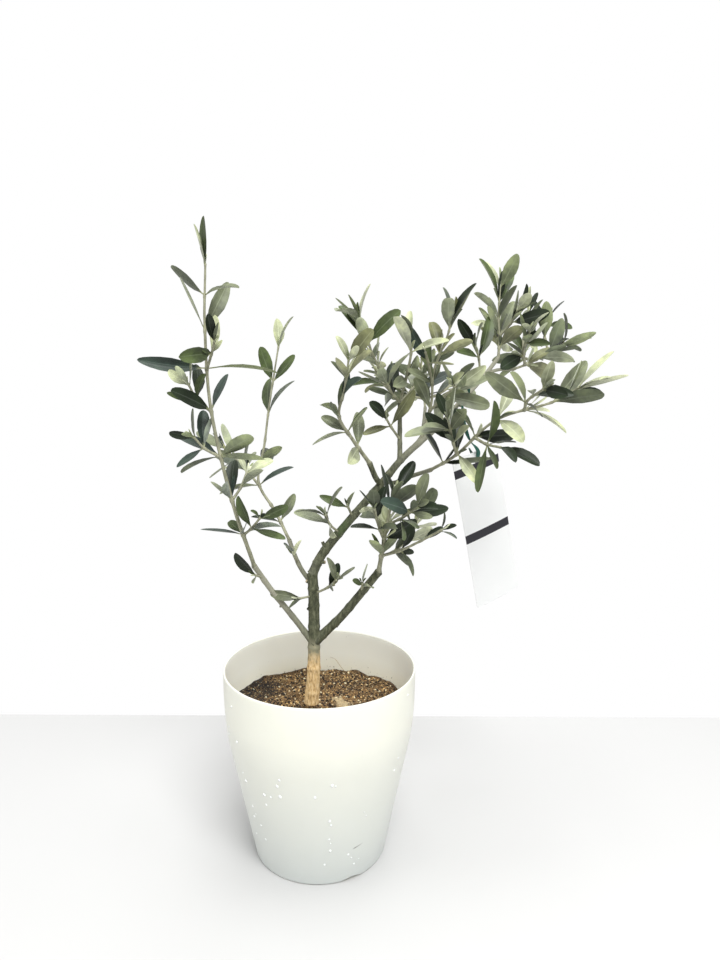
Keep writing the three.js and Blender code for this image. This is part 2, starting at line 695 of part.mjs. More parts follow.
function soilGeometry() {
  const bottom = pot.floor + clearance;
  const shell = (height) => wallRadius(height) - pot.wall - 2 * clearance;
  const profile = [[0, bottom], [shell(bottom), bottom]];
  const top = [];
  for (let ring = soil.rings; ring >= 0; ring -= 1) {
    top.push([shell(soil.height - soil.lump) * (ring / soil.rings), soil.height]);
  }
  profile.push([shell(pot.shoulderHeight), pot.shoulderHeight], ...top);
  const points = profile.map((corner) => new THREE.Vector2(...corner));
  const geometry = new THREE.LatheGeometry(points, soil.segments);
  geometry.rotateX(90 * degrees);
  const position = geometry.attributes.position;
  for (let i = 0; i < position.count; i += 1) {
    if (position.getZ(i) > soil.height - 1) {
      position.setZ(i, soilHeight(position.getX(i), position.getY(i)));
    }
  }
  return closed(geometry);
}

// Tag and tie

function tagGeometry() {
  const half = tag.width / 2;
  const top = tag.holeInset;
  const bottom = tag.holeInset - tag.height;
  const corner = tag.corner;
  const card = new THREE.Shape();
  card.moveTo(-half + corner, bottom);
  card.absarc(half - corner, bottom + corner, corner, -90 * degrees, 0);
  card.absarc(half - corner, top - corner, corner, 0, 90 * degrees);
  card.absarc(-half + corner, top - corner, corner, 90 * degrees, 180 * degrees);
  card.absarc(-half + corner, bottom + corner, corner, 180 * degrees, 270 * degrees);
  card.holes.push(new THREE.Path().absarc(0, 0, tag.holeRadius + clearance / 2, 0, 360 * degrees, true));
  const settings = { depth: tag.thickness, bevelEnabled: false, curveSegments: 4 };
  const geometry = new THREE.ExtrudeGeometry(card, settings);
  geometry.translate(0, 0, -tag.thickness / 2);
  geometry.rotateX(90 * degrees);
  return closed(geometry);
}

function tieGeometry() {
  return closed(taperedBar(tieBar.pointAt, tieBar.radiusAt, tie.sides, tie.steps));
}

// The object

const group = new THREE.Group();
group.name = "potted_olive_tree";

function addPiece(name, geometry, color, roughness) {
  const material = new THREE.MeshStandardMaterial({ color, roughness, metalness: 0 });
  const mesh = new THREE.Mesh(geometry, material);
  mesh.name = name;
  group.add(mesh);
  return mesh;
}

// Everything below the soil's surface, to cut the trunk flat
function groundSolid() {
  const ground = new THREE.CylinderGeometry(pot.footRadius, pot.footRadius, soil.height, pot.segments);
  ground.rotateX(90 * degrees);
  ground.translate(0, 0, groundHeight - soil.height / 2);
  return solidOf(ground);
}

addPiece("pot", potGeometry(), colours.pot, 0.45);
addPiece("soil", soilGeometry(), colours.soil, 0.95);

for (const [name, limb] of Object.entries(laidLimbs)) {
  let solid = limbSolid(limb, 0);
  solid = solid.subtract(limb.on ? limbSolid(laidLimbs[limb.on[0]], clearance) : groundSolid());
  addPiece(name, geometryOf(solid), name === "trunk" ? colours.trunk : colours.bark, 0.85);
}

for (const name of Object.keys(masses)) {
  addPiece(name, geometryOf(massSolid(name)), colours.foliage, 0.6);
}

const tagMesh = addPiece("hang_tag", tagGeometry(), colours.tag, 0.5);
tagMesh.position.set(...tag.hole);
tagMesh.quaternion.copy(tagTurn);
addPiece("tag_tie", tieGeometry(), colours.tie, 0.5);

export default group;
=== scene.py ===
# A young olive tree in a round white nursery pot, with a blank tag tied to an upper bough.
# The growth is worked out in millimetres, as the solids were, and becomes metres in the meshes.
import math

import bmesh
import bpy
import numpy as np
from mathutils import Matrix, Quaternion, Vector, noise


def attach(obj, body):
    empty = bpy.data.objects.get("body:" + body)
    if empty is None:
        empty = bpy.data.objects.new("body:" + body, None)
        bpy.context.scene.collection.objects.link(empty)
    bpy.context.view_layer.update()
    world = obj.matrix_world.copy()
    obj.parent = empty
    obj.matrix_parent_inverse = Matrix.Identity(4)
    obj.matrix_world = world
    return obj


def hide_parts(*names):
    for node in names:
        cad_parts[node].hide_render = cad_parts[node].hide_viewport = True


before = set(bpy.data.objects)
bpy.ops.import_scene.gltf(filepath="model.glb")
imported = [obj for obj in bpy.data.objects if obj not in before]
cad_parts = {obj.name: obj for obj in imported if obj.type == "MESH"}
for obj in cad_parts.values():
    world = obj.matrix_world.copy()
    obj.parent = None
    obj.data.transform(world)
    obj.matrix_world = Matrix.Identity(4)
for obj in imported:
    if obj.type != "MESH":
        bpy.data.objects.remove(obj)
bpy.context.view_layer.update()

mm = 0.001
scene = bpy.context.scene


# Camera, light and floor

view = {
    "place": (0.031, -0.5536, 0.3951),
    "pitchDown": 9.66,
    "roll": 0.0044,
    "focalPixels": 745,
    "longSidePixels": 960,
    "sensor": 36.0,
}


def makeCamera():
    data = bpy.data.cameras.new("camera")
    data.sensor_width = view["sensor"]
    data.lens = view["focalPixels"] / view["longSidePixels"] * view["sensor"]
    data.clip_start = 0.01
    camera = bpy.data.objects.new("camera", data)
    scene.collection.objects.link(camera)
    tilt = Matrix.Rotation(math.radians(90 - view["pitchDown"]), 4, "X")
    camera.matrix_world = Matrix.Translation(view["place"]) @ tilt @ Matrix.Rotation(view["roll"], 4, "Z")
    scene.camera = camera


studio = {
    "sky": 0.6,
    "skyColour": (1.0, 1.0, 1.0),
    "floorHalfWidth": 2.5,
    "floorFront": -1.6,
    "floorBack": 0.214,
    "floorColour": (0.60, 0.60, 0.595),
    "floorRoughness": 0.9,
    "backdrop": (1.0, 1.0, 1.0),
    # place, aim, side of the square, watts
    "lights": [
        ((0.35, -0.95, 1.45), (0.03, 0.0, 0.2), 0.7, 23.0),
        ((0.1, 0.0, 1.6), (0.0, 0.0, 0.1), 0.6, 9.0),
        ((-1.2, -0.4, 1.0), (0.0, 0.0, 0.3), 0.9, 3.0),
        ((0.3, 1.2, 1.2), (0.05, 0.0, 0.35), 1.0, 5.0),
    ],
}


def makeStudio():
    world = bpy.data.worlds.new("sky")
    scene.world = world
    world.use_nodes = True
    nodes, links = world.node_tree.nodes, world.node_tree.links
    background = nodes["Background"]
    background.inputs["Color"].default_value = (*studio["skyColour"], 1)
    background.inputs["Strength"].default_value = studio["sky"]
    seen = nodes.new("ShaderNodeBackground")
    seen.inputs["Color"].default_value = (*studio["backdrop"], 1)
    path = nodes.new("ShaderNodeLightPath")
    choose = nodes.new("ShaderNodeMixShader")
    links.new(path.outputs["Is Camera Ray"], choose.inputs[0])
    links.new(background.outputs[0], choose.inputs[1])
    links.new(seen.outputs[0], choose.inputs[2])
    links.new(choose.outputs[0], nodes["World Output"].inputs[0])
    for number, (place, aim, side, watts) in enumerate(studio["lights"]):
        data = bpy.data.lights.new(f"softbox{number}", "AREA")
        data.size = side
        data.energy = watts
        lamp = bpy.data.objects.new(data.name, data)
        lamp.location = place
        lamp.rotation_euler = (Vector(aim) - Vector(place)).to_track_quat("-Z", "Y").to_euler()
        scene.collection.objects.link(lamp)
    half, front, back = studio["floorHalfWidth"], studio["floorFront"], studio["floorBack"]
    corners = [(-half, front, 0), (half, front, 0), (half, back, 0), (-half, back, 0)]
    paper = newMaterial("floorPaper", studio["floorColour"], studio["floorRoughness"])[0]
    meshObject("floor", corners, [(0, 1, 2, 3)], [paper])
    scene.view_settings.view_transform = "Standard"


# Mesh helpers

# vertices in metres, faces as index tuples
def meshObject(name, vertices, faces, materials, faceMaterials=None, uvs=None, sharp=None):
    mesh = bpy.data.meshes.new(name)
    mesh.from_pydata([tuple(v) for v in vertices], [], [tuple(f) for f in faces])
    for material in materials:
        mesh.materials.append(material)
    if faceMaterials is not None:
        mesh.polygons.foreach_set("material_index", np.asarray(faceMaterials, dtype=np.int32))
    mesh.polygons.foreach_set("use_smooth", np.full(len(faces), True))
    if uvs is not None:
        layer = mesh.uv_layers.new(name="UVMap")
        order = np.empty(len(mesh.loops), dtype=np.int32)
        mesh.loops.foreach_get("vertex_index", order)
        layer.data.foreach_set("uv", np.asarray(uvs, dtype=np.float32)[order].ravel())
    mesh.update()
    if sharp is not None:
        mesh.set_sharp_from_angle(angle=math.radians(sharp))
    made = bpy.data.objects.new(name, mesh)
    scene.collection.objects.link(made)
    return made


# Vertices, faces and face materials of many small shapes that become one mesh
class Heap:
    def __init__(self):
        self.vertices, self.faces, self.kinds, self.uvs, self.count = [], [], [], [], 0

    def add(self, vertices, faces, kind=0, uvs=None):
        self.vertices.append(np.asarray(vertices, dtype=float))
        for face in faces:
            self.faces.append(tuple(i + self.count for i in face))
        self.kinds.extend([kind] * len(faces) if isinstance(kind, int) else kind)
        if uvs is not None:
            self.uvs.append(np.asarray(uvs, dtype=float))
        self.count += len(vertices)

    def make(self, name, materials, **more):
        vertices = np.concatenate(self.vertices) * mm
        uvs = np.concatenate(self.uvs) if self.uvs else None
        return meshObject(name, vertices, self.faces, materials, self.kinds, uvs=uvs, **more)


def mix(a, b, share):
    return a + (b - a) * share


def smoothStep(low, high, value):
    share = np.clip((value - low) / (high - low), 0, 1)
    return share * share * (3 - 2 * share)


# Material helpers

def newMaterial(name, colour, roughness):
    material = bpy.data.materials.new(name)
    material.use_nodes = True
    tree = material.node_tree
    shader = tree.nodes["Principled BSDF"]
    shader.inputs["Base Color"].default_value = (*colour, 1)
    shader.inputs["Roughness"].default_value = roughness
    return material, tree, shader


def shaded(colour, share):
    return [min(1, channel * share) for channel in colour]


def addNode(tree, kind, inputs=None, **settings):
    node = tree.nodes.new(kind)
    for key, value in settings.items():
        setattr(node, key, value)
    for key, value in (inputs or {}).items():
        if isinstance(value, bpy.types.NodeSocket):
            tree.links.new(value, node.inputs[key])
        else:
            node.inputs[key].default_value = value
    return node


def objectCoordinates(tree, scale=(1, 1, 1)):
    place = addNode(tree, "ShaderNodeTexCoord")
    return addNode(tree, "ShaderNodeMapping", {"Vector": place.outputs["Object"], "Scale": scale}).outputs[0]


def noiseValue(tree, scale, detail=3.0, stretch=(1, 1, 1), roughness=0.55):
    where = objectCoordinates(tree, stretch)
    values = {"Vector": where, "Scale": scale, "Detail": detail, "Roughness": roughness}
    return addNode(tree, "ShaderNodeTexNoise", values).outputs[0]


def ramp(tree, value, stops):  # stops: position and colour
    node = addNode(tree, "ShaderNodeValToRGB", {"Fac": value})
    elements = node.color_ramp.elements
    while len(elements) < len(stops):
        elements.new(0.5)
    for element, (position, colour) in zip(elements, stops):
        element.position = position
        element.color = (*colour, 1)
    return node.outputs[0]


# Colours or sockets mixed by a share; sockets 0, 6 and 7 are the share and the two colours
def blend(tree, share, first, second):
    node = addNode(tree, "ShaderNodeMix", data_type="RGBA")
    for socket, value in ((node.inputs[0], share), (node.inputs[6], first), (node.inputs[7], second)):
        if isinstance(value, bpy.types.NodeSocket):
            tree.links.new(value, socket)
        elif isinstance(value, (int, float)):
            socket.default_value = value
        else:
            socket.default_value = (*value, 1)
    return node.outputs[2]


def calc(tree, how, *values):
    node = addNode(tree, "ShaderNodeMath", operation=how)
    for socket, value in zip(node.inputs, values):
        if isinstance(value, bpy.types.NodeSocket):
            tree.links.new(value, socket)
        else:
            socket.default_value = value
    return node.outputs[0]


def plus(tree, first, second):
    return calc(tree, "ADD", first, second)


def minus(tree, first, second):
    return calc(tree, "SUBTRACT", first, second)


def times(tree, first, second):
    return calc(tree, "MULTIPLY", first, second)


def mapRange(tree, value, low, high, toLow=0.0, toHigh=1.0):
    values = {"Value": value, "From Min": low, "From Max": high, "To Min": toLow, "To Max": toHigh}
    return addNode(tree, "ShaderNodeMapRange", values).outputs[0]


def bump(tree, shader, height, distance, strength=0.6):
    node = addNode(tree, "ShaderNodeBump", {"Height": height, "Distance": distance, "Strength": strength})
    tree.links.new(node.outputs[0], shader.inputs["Normal"])


def axis(tree, name):
    split = addNode(tree, "ShaderNodeSeparateXYZ", {"Vector": objectCoordinates(tree)})
    return split.outputs[name]


# Distance from the pot's upright middle line
def fromMiddle(tree):
    x, y = axis(tree, "X"), axis(tree, "Y")
    return calc(tree, "SQRT", plus(tree, times(tree, x, x), times(tree, y, y)))


# The first noise in its share and the second in the rest, each by its scale and detail
def mixedNoise(tree, first, second, share):
    return plus(tree, times(tree, noiseValue(tree, *first), share),
                times(tree, noiseValue(tree, *second), 1 - share))


# A length that wanders evenly to both sides of nothing
def wander(tree, scale, detail, width):
    return times(tree, minus(tree, noiseValue(tree, scale, detail), 0.5), width)


# A spot's share round its place, and 0 beyond its reach, with a ragged edge
def patchShare(tree, spot):
    ends = {0: objectCoordinates(tree), 1: tuple(length * mm for length in spot["place"])}
    away = addNode(tree, "ShaderNodeVectorMath", ends, operation="DISTANCE").outputs["Value"]
    ragged = plus(tree, away, wander(tree, *spot["edge"]))
    return mapRange(tree, ragged, spot["reach"] * spot["solid"] * mm, spot["reach"] * mm, spot["share"], 0.0)


# The shader's colour goes from stop to stop with the value
def mottle(tree, shader, value, *stops):
    tree.links.new(ramp(tree, value, stops), shader.inputs["Base Color"])


# The tree's sizes in millimetres, the same as the solids'

limbs = {
    "trunk": {
        "path": [(-7.4, -8, 113), (-4.4, -8, 150), (-4, -7, 179), (-4, -6, 208), (-5, -5, 229)],
        "foot": 5, "tip": 3.85, "collar": 1.8,
    },
    "bough_left": {
        "on": ("trunk", 0.45), "path": [(-17, -7.5, 191.5), (-35.5, -10, 217), (-48, -13, 237)],
        "foot": 2.4, "tip": 2, "collar": 0.7,
    },
    "bough_lower_right": {
        "on": ("trunk", 0.46), "path": [(5, -9, 184), (18, -14, 199), (32, -20, 218.5), (45, -26, 237)],
        "foot": 3.6, "tip": 2.8, "collar": 0.7,
    },
    "bough_inner_left": {
        "on": ("trunk", 0.89), "path": [(-13, -3, 231), (-18.5, -1, 242), (-23, 3, 253)],
        "foot": 1.8, "tip": 1.6, "collar": 0.6,
    },
    "leader": {
        "on": ("trunk", 1), "path": [(3, -5, 245), (22, -4, 269), (47, 0, 298), (64, 4, 318), (89, 9, 340)],
        "foot": 3.75, "tip": 2.2, "collar": 0,
    },
    "bough_centre_left": {
        "on": ("leader", 0.6), "path": [(43, -5, 303), (38, -9, 315)],
        "foot": 2.3, "tip": 2, "collar": 0.5,
    },
    "bough_far_right": {
        "on": ("leader", 0.625), "path": [(56, -7, 300), (66, -12, 305), (82, -21, 312)],
        "foot": 1.7, "tip": 1.5, "collar": 0.4,
    },
    "bough_centre": {
        "on": ("leader", 0.77), "path": [(61, 7, 328), (61, 9, 337), (61, 14, 358)],
        "foot": 1.9, "tip": 1.6, "collar": 0.5,
    },
    "bough_back": {
        "on": ("leader", 0.87), "path": [(79, 20, 333), (81, 34, 339), (84, 56, 351)],
        "foot": 1.6, "tip": 1.3, "collar": 0.4,
    },
    "bough_upper_right": {
        "on": ("leader", 0.955), "path": [(96, 13, 346), (105, 18, 356), (123, 26, 374), (138, 33, 392)],
        "foot": 2, "tip": 1.5, "collar": 0.4,
    },
    "bough_outer_right": {
        "on": ("bough_upper_right", 0.84), "path": [(140, 35, 383), (151, 39, 383)],
        "foot": 1.3, "tip": 1.2, "collar": 0.3,
    },
}
collarFade = 11

# Each mass: where its stem starts, its radii, nodes, the low leaves' angle to the twig or one angle
# for each node, the first pair's angle, a seed for each flush of growth, the share of axils with a
# second leaf and their seed, its path, its leaf lengths and its side shoots (node, path, nodes, leaf,
# turn, seed)
masses = {
    "foliage_left": {
        "on": ("bough_left", 1), "radii": (2, 0.9), "nodes": 8, "turn": 15,
        "spread": [90, 52, 104, 64, 92, 46, 54, 12],
        "seeds": [316, 130, 170, 365], "axils": 0.5, "axilSeed": 770,
        "path": [(-62, -22, 289), (-74, -28, 354), (-76, -32, 410), (-74, -34, 454)],
        "leaf": [30, 27, 46, 34, 50, 36, 30, 32],
        "shoots": [
            (3, [(-79, -30, 328), (-86, -34, 337)], 2, 24, 135, 167),
            (4, [(-82, -34, 362), (-87, -40, 374)], 2, 24, 135, 167),
            (2, [(-57, -14, 297), (-53, -6, 308)], 2, 20, 90, 215),
            (1, [(-48, -26, 269), (-40, -34, 279)], 2, 20, 22, 215),
            (5, [(-70, -42, 394), (-66, -50, 403)], 2, 22, 90, 224),
        ],
    },
    "foliage_inner_left": {
        "on": ("bough_inner_left", 1), "radii": (1.6, 0.8), "nodes": 8, "spread": 66, "turn": -15,
        "seeds": [303, 175, 126, 359], "axils": 0.5, "axilSeed": 710,
        "path": [(-34, 9, 274), (-48, 18, 296), (-44, 26, 324), (-40, 31, 356), (-33, 36, 400)],
        "leaf": [22, 24, 30, 24, 30, 33, 26, 24],
        "shoots": [
            (3, [(-62, 26, 308), (-77, 36, 320)], 3, 28, 112, 58),
        ],
    },
    "sprig_leader_low": {
        "on": ("leader", 0.34), "radii": (1.2, 1), "nodes": 2, "spread": 48, "turn": 67,
        "seeds": [57], "axils": 0, "axilSeed": 0,
        "path": [(9, -16, 270), (6, -22, 279)], "leaf": [26, 24], "shoots": [],
    },
    "sprig_leader_high": {
        "on": ("leader", 0.43), "radii": (1.2, 1), "nodes": 1, "spread": 48, "turn": 22,
        "seeds": [56], "axils": 0, "axilSeed": 0,
        "path": [(22, -12, 283)], "leaf": [22], "shoots": [],
    },
    "foliage_centre_left": {
        "on": ("bough_centre_left", 1), "radii": (1.9, 0.8), "nodes": 6, "spread": 70, "turn": 112,
        "seeds": [327, 457, 486], "axils": 0.55, "axilSeed": 690,
        "path": [(26, -19, 333), (16, -28, 351), (20, -35, 370), (23, -42, 391)],
        "leaf": [30, 27, 30, 24, 25, 22],
        "shoots": [],
    },
    "foliage_centre": {
        "on": ("bough_centre", 1), "radii": (1.5, 0.8), "nodes": 5, "spread": 52, "turn": 135,
        "seeds": [130, 72, 59], "axils": 0.65, "axilSeed": 1210,
        "path": [(54, 9, 367), (42, 2, 390), (30, -6, 419)],
        "leaf": [24, 27, 25, 30, 26],
        "shoots": [
            (0, [(70, 22, 367), (78, 30, 376), (85, 38, 389)], 3, 26, 45, 6),
            (0, [(64, -4, 376), (67, -14, 395), (65, -18, 406)], 3, 26, 90, 5),
            (1, [(46, 24, 376), (40, 36, 388)], 3, 24, 0, 20),
        ],
    },
    "sprig_centre": {
        "on": ("bough_centre", 0.45), "radii": (1.2, 1), "nodes": 2, "spread": 48, "turn": 157,
        "seeds": [118], "axils": 0, "axilSeed": 0,
        "path": [(54, 0, 341), (50, -8, 348)], "leaf": [25, 22], "shoots": [],
    },
    "foliage_top_centre": {
        "on": ("leader", 0.905), "radii": (1.4, 0.8), "nodes": 5, "spread": 50, "turn": 22,
        "seeds": [128, 17, 30], "axils": 0.65, "axilSeed": 660,
        "path": [(84, 5, 358), (85, 2, 382), (94, -4, 408), (96, -6, 419)],
        "leaf": [24, 27, 25, 27, 26],
        "shoots": [
            (2, [(80, -10, 388), (77, -18, 396)], 2, 22, 67, 189),
            (1, [(92, -6, 364), (100, -16, 372)], 2, 26, 0, 48),
        ],
    },
    "sprig_upper": {
        "on": ("bough_upper_right", 0.36), "radii": (1.1, 0.9), "nodes": 2, "spread": 48, "turn": 0,
        "seeds": [123], "axils": 0, "axilSeed": 0,
        "path": [(102, 6, 366), (99, -1, 373)], "leaf": [24, 24], "shoots": [],
    },
    "sprig_upper_left": {
        "on": ("bough_upper_right", 0.76), "radii": (1.1, 0.9), "nodes": 2, "spread": 48, "turn": 135,
        "seeds": [86], "axils": 0, "axilSeed": 0,
        "path": [(121, 20, 391), (117, 14, 401)], "leaf": [28, 27], "shoots": [],
    },
    "foliage_right_top": {
        "on": ("bough_upper_right", 1), "radii": (1.4, 0.8), "nodes": 5, "spread": 40, "turn": 45,
        "seeds": [29, 113, 28], "axils": 0.7, "axilSeed": 280,
        "path": [(139, 36, 405), (138, 38, 425), (139, 40, 447)],
        "leaf": [24, 28, 26, 30, 31],
        "shoots": [
            (1, [(140, 50, 408), (143, 62, 420)], 3, 25, 112, 18),
            (2, [(146, 30, 418), (150, 24, 428)], 2, 25, 22, 26),
        ],
    },
    "foliage_outer_right": {
        "on": ("bough_outer_right", 1), "radii": (1.2, 0.8), "nodes": 5, "spread": 42, "turn": 157,
        "seeds": [80, 109, 129], "axils": 0.7, "axilSeed": 330,
        "path": [(168, 47, 389), (185, 55, 398), (196, 60, 404)],
        "leaf": [25, 28, 28, 26, 28],
        "shoots": [
            (1, [(161, 52, 406), (166, 60, 428)], 4, 24, 67, 204),
            (3, [(181, 66, 412), (187, 76, 426)], 3, 24, 67, 18),
            (1, [(156, 26, 398), (157, 12, 412)], 3, 26, 135, 18),
            (2, [(164, 68, 392), (166, 86, 398)], 3, 24, 135, 27),
        ],
    },
    "foliage_far_right": {
        "on": ("bough_far_right", 1), "radii": (1.5, 0.8), "nodes": 8, "spread": 56, "turn": 157,
        "seeds": [477, 437, 99, 190], "axils": 0.6, "axilSeed": 30,
        "path": [(99, -33, 325), (123, -50, 351), (155, -68, 364), (170, -76, 374)],
        "leaf": [30, 27, 28, 27, 33, 38, 28, 34],
        "shoots": [
            (3, [(116, -54, 335), (124, -64, 334)], 2, 28, 0, 57),
            (5, [(138, -76, 366), (144, -92, 374)], 3, 26, 22, 31),
            (2, [(94, -44, 338), (90, -54, 352)], 3, 24, 67, 128),
        ],
    },
    "foliage_lower_right": {
        "on": ("bough_lower_right", 1), "radii": (2.2, 0.9), "nodes": 5, "spread": 62, "turn": 135,
        "seeds": [50, 74, 63], "axils": 0.7, "axilSeed": 370,
        "path": [(48, -30, 258), (51, -34, 278), (55, -38, 299)],
        "leaf": [22, 24, 26, 26, 24],
        "shoots": [
            (1, [(58, -20, 252), (68, -14, 262), (76, -8, 277)], 4, 25, 157, 58),
            (1, [(60, -30, 254), (75, -32, 262), (89, -40, 272)], 3, 17, 22, 27),
            (2, [(44, -42, 276), (41, -52, 290)], 3, 20, 22, 46),
            (3, [(62, -50, 284), (70, -60, 294)], 3, 24, 45, 53),
        ],
    },
    "foliage_back": {
        "on": ("bough_back", 1), "radii": (1.3, 0.8), "nodes": 4, "spread": 56, "turn": 0,
        "seeds": [130, 75], "axils": 0.6, "axilSeed": 350,
        "path": [(84, 76, 365), (83, 94, 381)],
        "leaf": [26, 28, 27, 25],
        "shoots": [
            (1, [(98, 76, 362), (112, 88, 372)], 3, 26, 135, 17),
            (1, [(68, 76, 362), (54, 88, 374)], 3, 26, 0, 20),
        ],
    },
    "sprig_trunk_right": {
        "on": ("trunk", 0.805), "radii": (1.2, 1), "nodes": 2, "spread": 48, "turn": 67,
        "seeds": [46], "axils": 0, "axilSeed": 0,
        "path": [(7, -14, 221), (14, -20, 229)], "leaf": [19, 18], "shoots": [],
    },
    "sprig_trunk_left": {
        "on": ("trunk", 0.79), "radii": (1.1, 1), "nodes": 1, "spread": 48, "turn": 112,
        "seeds": [17], "axils": 0, "axilSeed": 0,
        "path": [(-14, -13, 212)], "leaf": [19], "shoots": [],
    },
    "sprig_lower_right": {
        "on": ("bough_lower_right", 0.76), "radii": (1.2, 1), "nodes": 2, "spread": 48, "turn": 22,
        "seeds": [112], "axils": 0, "axilSeed": 0,
        "path": [(33, -28, 229)], "leaf": [16, 15], "shoots": [],
    },
    "sprig_left_low": {
        "on": ("bough_left", 0.84), "radii": (1.1, 0.9), "nodes": 1, "spread": 48, "turn": 67,
        "seeds": [31], "axils": 0, "axilSeed": 0,
        "path": [(-46.5, -19.5, 232)], "leaf": [19], "shoots": [],
    },
    "sprig_inner_left": {
        "on": ("bough_inner_left", 0.5), "radii": (1.1, 0.9), "nodes": 1, "spread": 48, "turn": 0,
        "seeds": [27], "axils": 0, "axilSeed": 0,
        "path": [(-19, -8.5, 245)], "leaf": [15], "shoots": [],
    },
}

shootRadii = (1.35, 0.95)
leafForm = {"widthShare": 0.4, "widest": 10.5, "petiole": 2, "aboveNode": 1, "belowTip": 1.6}
growth = {
    "flush": 2, "missing": 0.12, "spreadTip": 22,
    "turnJitter": 24, "spreadJitter": 20, "rollJitter": 80, "lengthJitter": 0.22, "widthJitter": 0.2,
    "axilTurn": 34, "axilSpread": 0.62, "axilLength": 0.72, "shootLeaf": (0.86, 1.08),
    "upward": 0.6, "frontward": 0.35,
    "tries": 5, "reach": 62,
    "ownGap": 1.7, "otherGap": 2.6, "limbGap": 1.5,
    # how seeds and leaves are numbered
    "seedStep": 1000, "secondSeeds": 500, "twigStep": 100, "secondLeaves": 50,
}
testing = {
    "spacing": 3, "from": 0.28, "acrossShares": (-0.8, 0, 0.8), "taper": 4, "tipWidth": 0.1,
    "barStations": 10, "tieStations": 60, "tagRows": 6, "tagRadius": 2, "farApart": 80,
}


# Paths and frames

def randomFrom(seed):
    state = (seed * 2654435761) % 2 ** 32

    def draw():
        nonlocal state
        state = (state * 1664525 + 1013904223) % 2 ** 32
        return state / 2 ** 32
    return draw


# A Catmull-Rom curve through the points, read at shares from 0 to 1
def curveOf(points):
    points = [Vector(p) for p in points]
    first = points[0] * 2 - points[1]
    last = points[-1] * 2 - points[-2]
    padded = [first, *points, last]

    def pointAt(share):
        place = (len(points) - 1) * min(max(share, 0), 1)
        start = min(int(place), len(points) - 2)
        t = place - start
        p0, p1, p2, p3 = padded[start:start + 4]
        t0, t1 = (p2 - p0) * 0.5, (p3 - p1) * 0.5
        return p1 + t0 * t + (p2 * 3 - p1 * 3 - t0 * 2 - t1) * t ** 2 + (p1 * 2 - p2 * 2 + t0 + t1) * t ** 3
    return pointAt


def frameAt(pointAt, share):
    ahead = (pointAt(min(share + 0.01, 1)) - pointAt(max(share - 0.01, 0))).normalized()
    side = ahead.cross(Vector((0, 1, 0))).normalized()
    return pointAt(share), ahead, side, side.cross(ahead)


laidLimbs = {}


def layOutLimb(limb):
    points = [Vector(p) for p in limb["path"]]
    if "on" in limb:
        points.insert(0, laidLimbs[limb["on"][0]]["pointAt"](limb["on"][1]))

    def radiusAt(share):
        return mix(limb["foot"], limb["tip"], share) + limb["collar"] * math.exp(-share * collarFade)
    return {"pointAt": curveOf(points), "radiusAt": radiusAt}


for limbName, limb in limbs.items():
    laidLimbs[limbName] = layOutLimb(limb)


def layOutTwig(points, nodes, radii, leaf, turn, spread, seeds, name):
    lengths, angles = [], []
    for node in range(1, nodes + 1):
        share = node / nodes
        usual = mix(*growth["shootLeaf"], math.sin(math.pi * share))
        lengths.append(leaf[node - 1] if isinstance(leaf, list) else leaf * usual)
        closing = isinstance(spread, (int, float))
        angles.append(mix(spread, growth["spreadTip"], share ** 3) if closing else spread[node - 1])
    return {
        "pointAt": curveOf(points), "radiusAt": lambda share: mix(radii[0], radii[1], share),
        "nodes": nodes, "lengths": lengths, "angles": angles, "turn": turn, "seeds": seeds, "name": name,
    }


def growTwigs(name, mass):
    start = laidLimbs[mass["on"][0]]["pointAt"](mass["on"][1])
    stem = layOutTwig([start, *mass["path"]], mass["nodes"], mass["radii"], mass["leaf"], mass["turn"],
                      mass["spread"], mass["seeds"], name)
    twigs = [stem]
    spread = mass["spread"][0] if isinstance(mass["spread"], list) else mass["spread"]
    for number, (node, path, nodes, leaf, turn, seed) in enumerate(mass["shoots"]):
        foot = stem["pointAt"](node / mass["nodes"])
        twigs.append(layOutTwig([foot, *path], nodes, shootRadii, leaf, turn, spread, [seed],
                                f"{name}.{number}"))
    return twigs


# The tag and its tie

tag = {
    "width": 46, "height": 126, "thickness": 0.35, "corner": 2, "hole": (120.5, 16, 315), "holeRadius": 1.3,
    "holeInset": 6, "turn": 32, "tilt": -14, "bars": [(-9.5, -2.8), (-63.5, -56.5)],
    "rows": 64, "columns": 25, "holeCleared": 2.2, "holeEdge": 2.4, "orderStep": 1000,
    "curl": 1.2, "cup": 0.6, "cupFlat": 0.4, "twist": 0.5, "twistWaves": 2.6,
    "cardColour": (0.835, 0.845, 0.84), "cardRoughness": 0.45, "cardDuller": 0.97, "cardCloud": (35, 3),
    "barColour": (0.012, 0.012, 0.018), "barRoughness": 0.4, "barGloss": (0.34, 0.48), "barCloud": (300, 3),
}
tie = {
    "radius": 0.8, "loopAt": 0.6, "loopFrom": -60, "loopTurn": 290, "loopPitch": 3.2, "loopGap": 0.8,
    "freeEnd": [(-1.5, -1.5, 15), (-1.2, -1.2, 6)],
    "drop": [(109, 15.5, 360), (109, 12, 346), (114, 10, 331)],
    "eye": [(0, -3.4, 8), (0, -2.6, 2.4), (0, 0, 0), (0, 2.8, 2.2), (-2, 3.6, 9)],
    "ribbonWidth": 3.2, "ribbonThickness": 0.45, "wire": 0.5, "wireReach": 0.3,
    # half of the ribbon's section: across it and up, as shares of its half width and half thickness
    "section": [(-1, 0.4), (-0.45, 0.5), (-0.2, 1.0), (0, 1.2), (0.2, 1.0), (0.45, 0.5), (1, 0.4)],
    "steps": 260, "twist": (2.2, 9, 5), "sharp": 60,
    "colour": (0.006, 0.075, 0.052), "shades": (0.7, 1.4), "cloud": (400, 3), "roughness": 0.35,
}
tagTurn = Quaternion((0, 0, 1), math.radians(tag["turn"])) @ Quaternion((0, 1, 0), math.radians(tag["tilt"]))


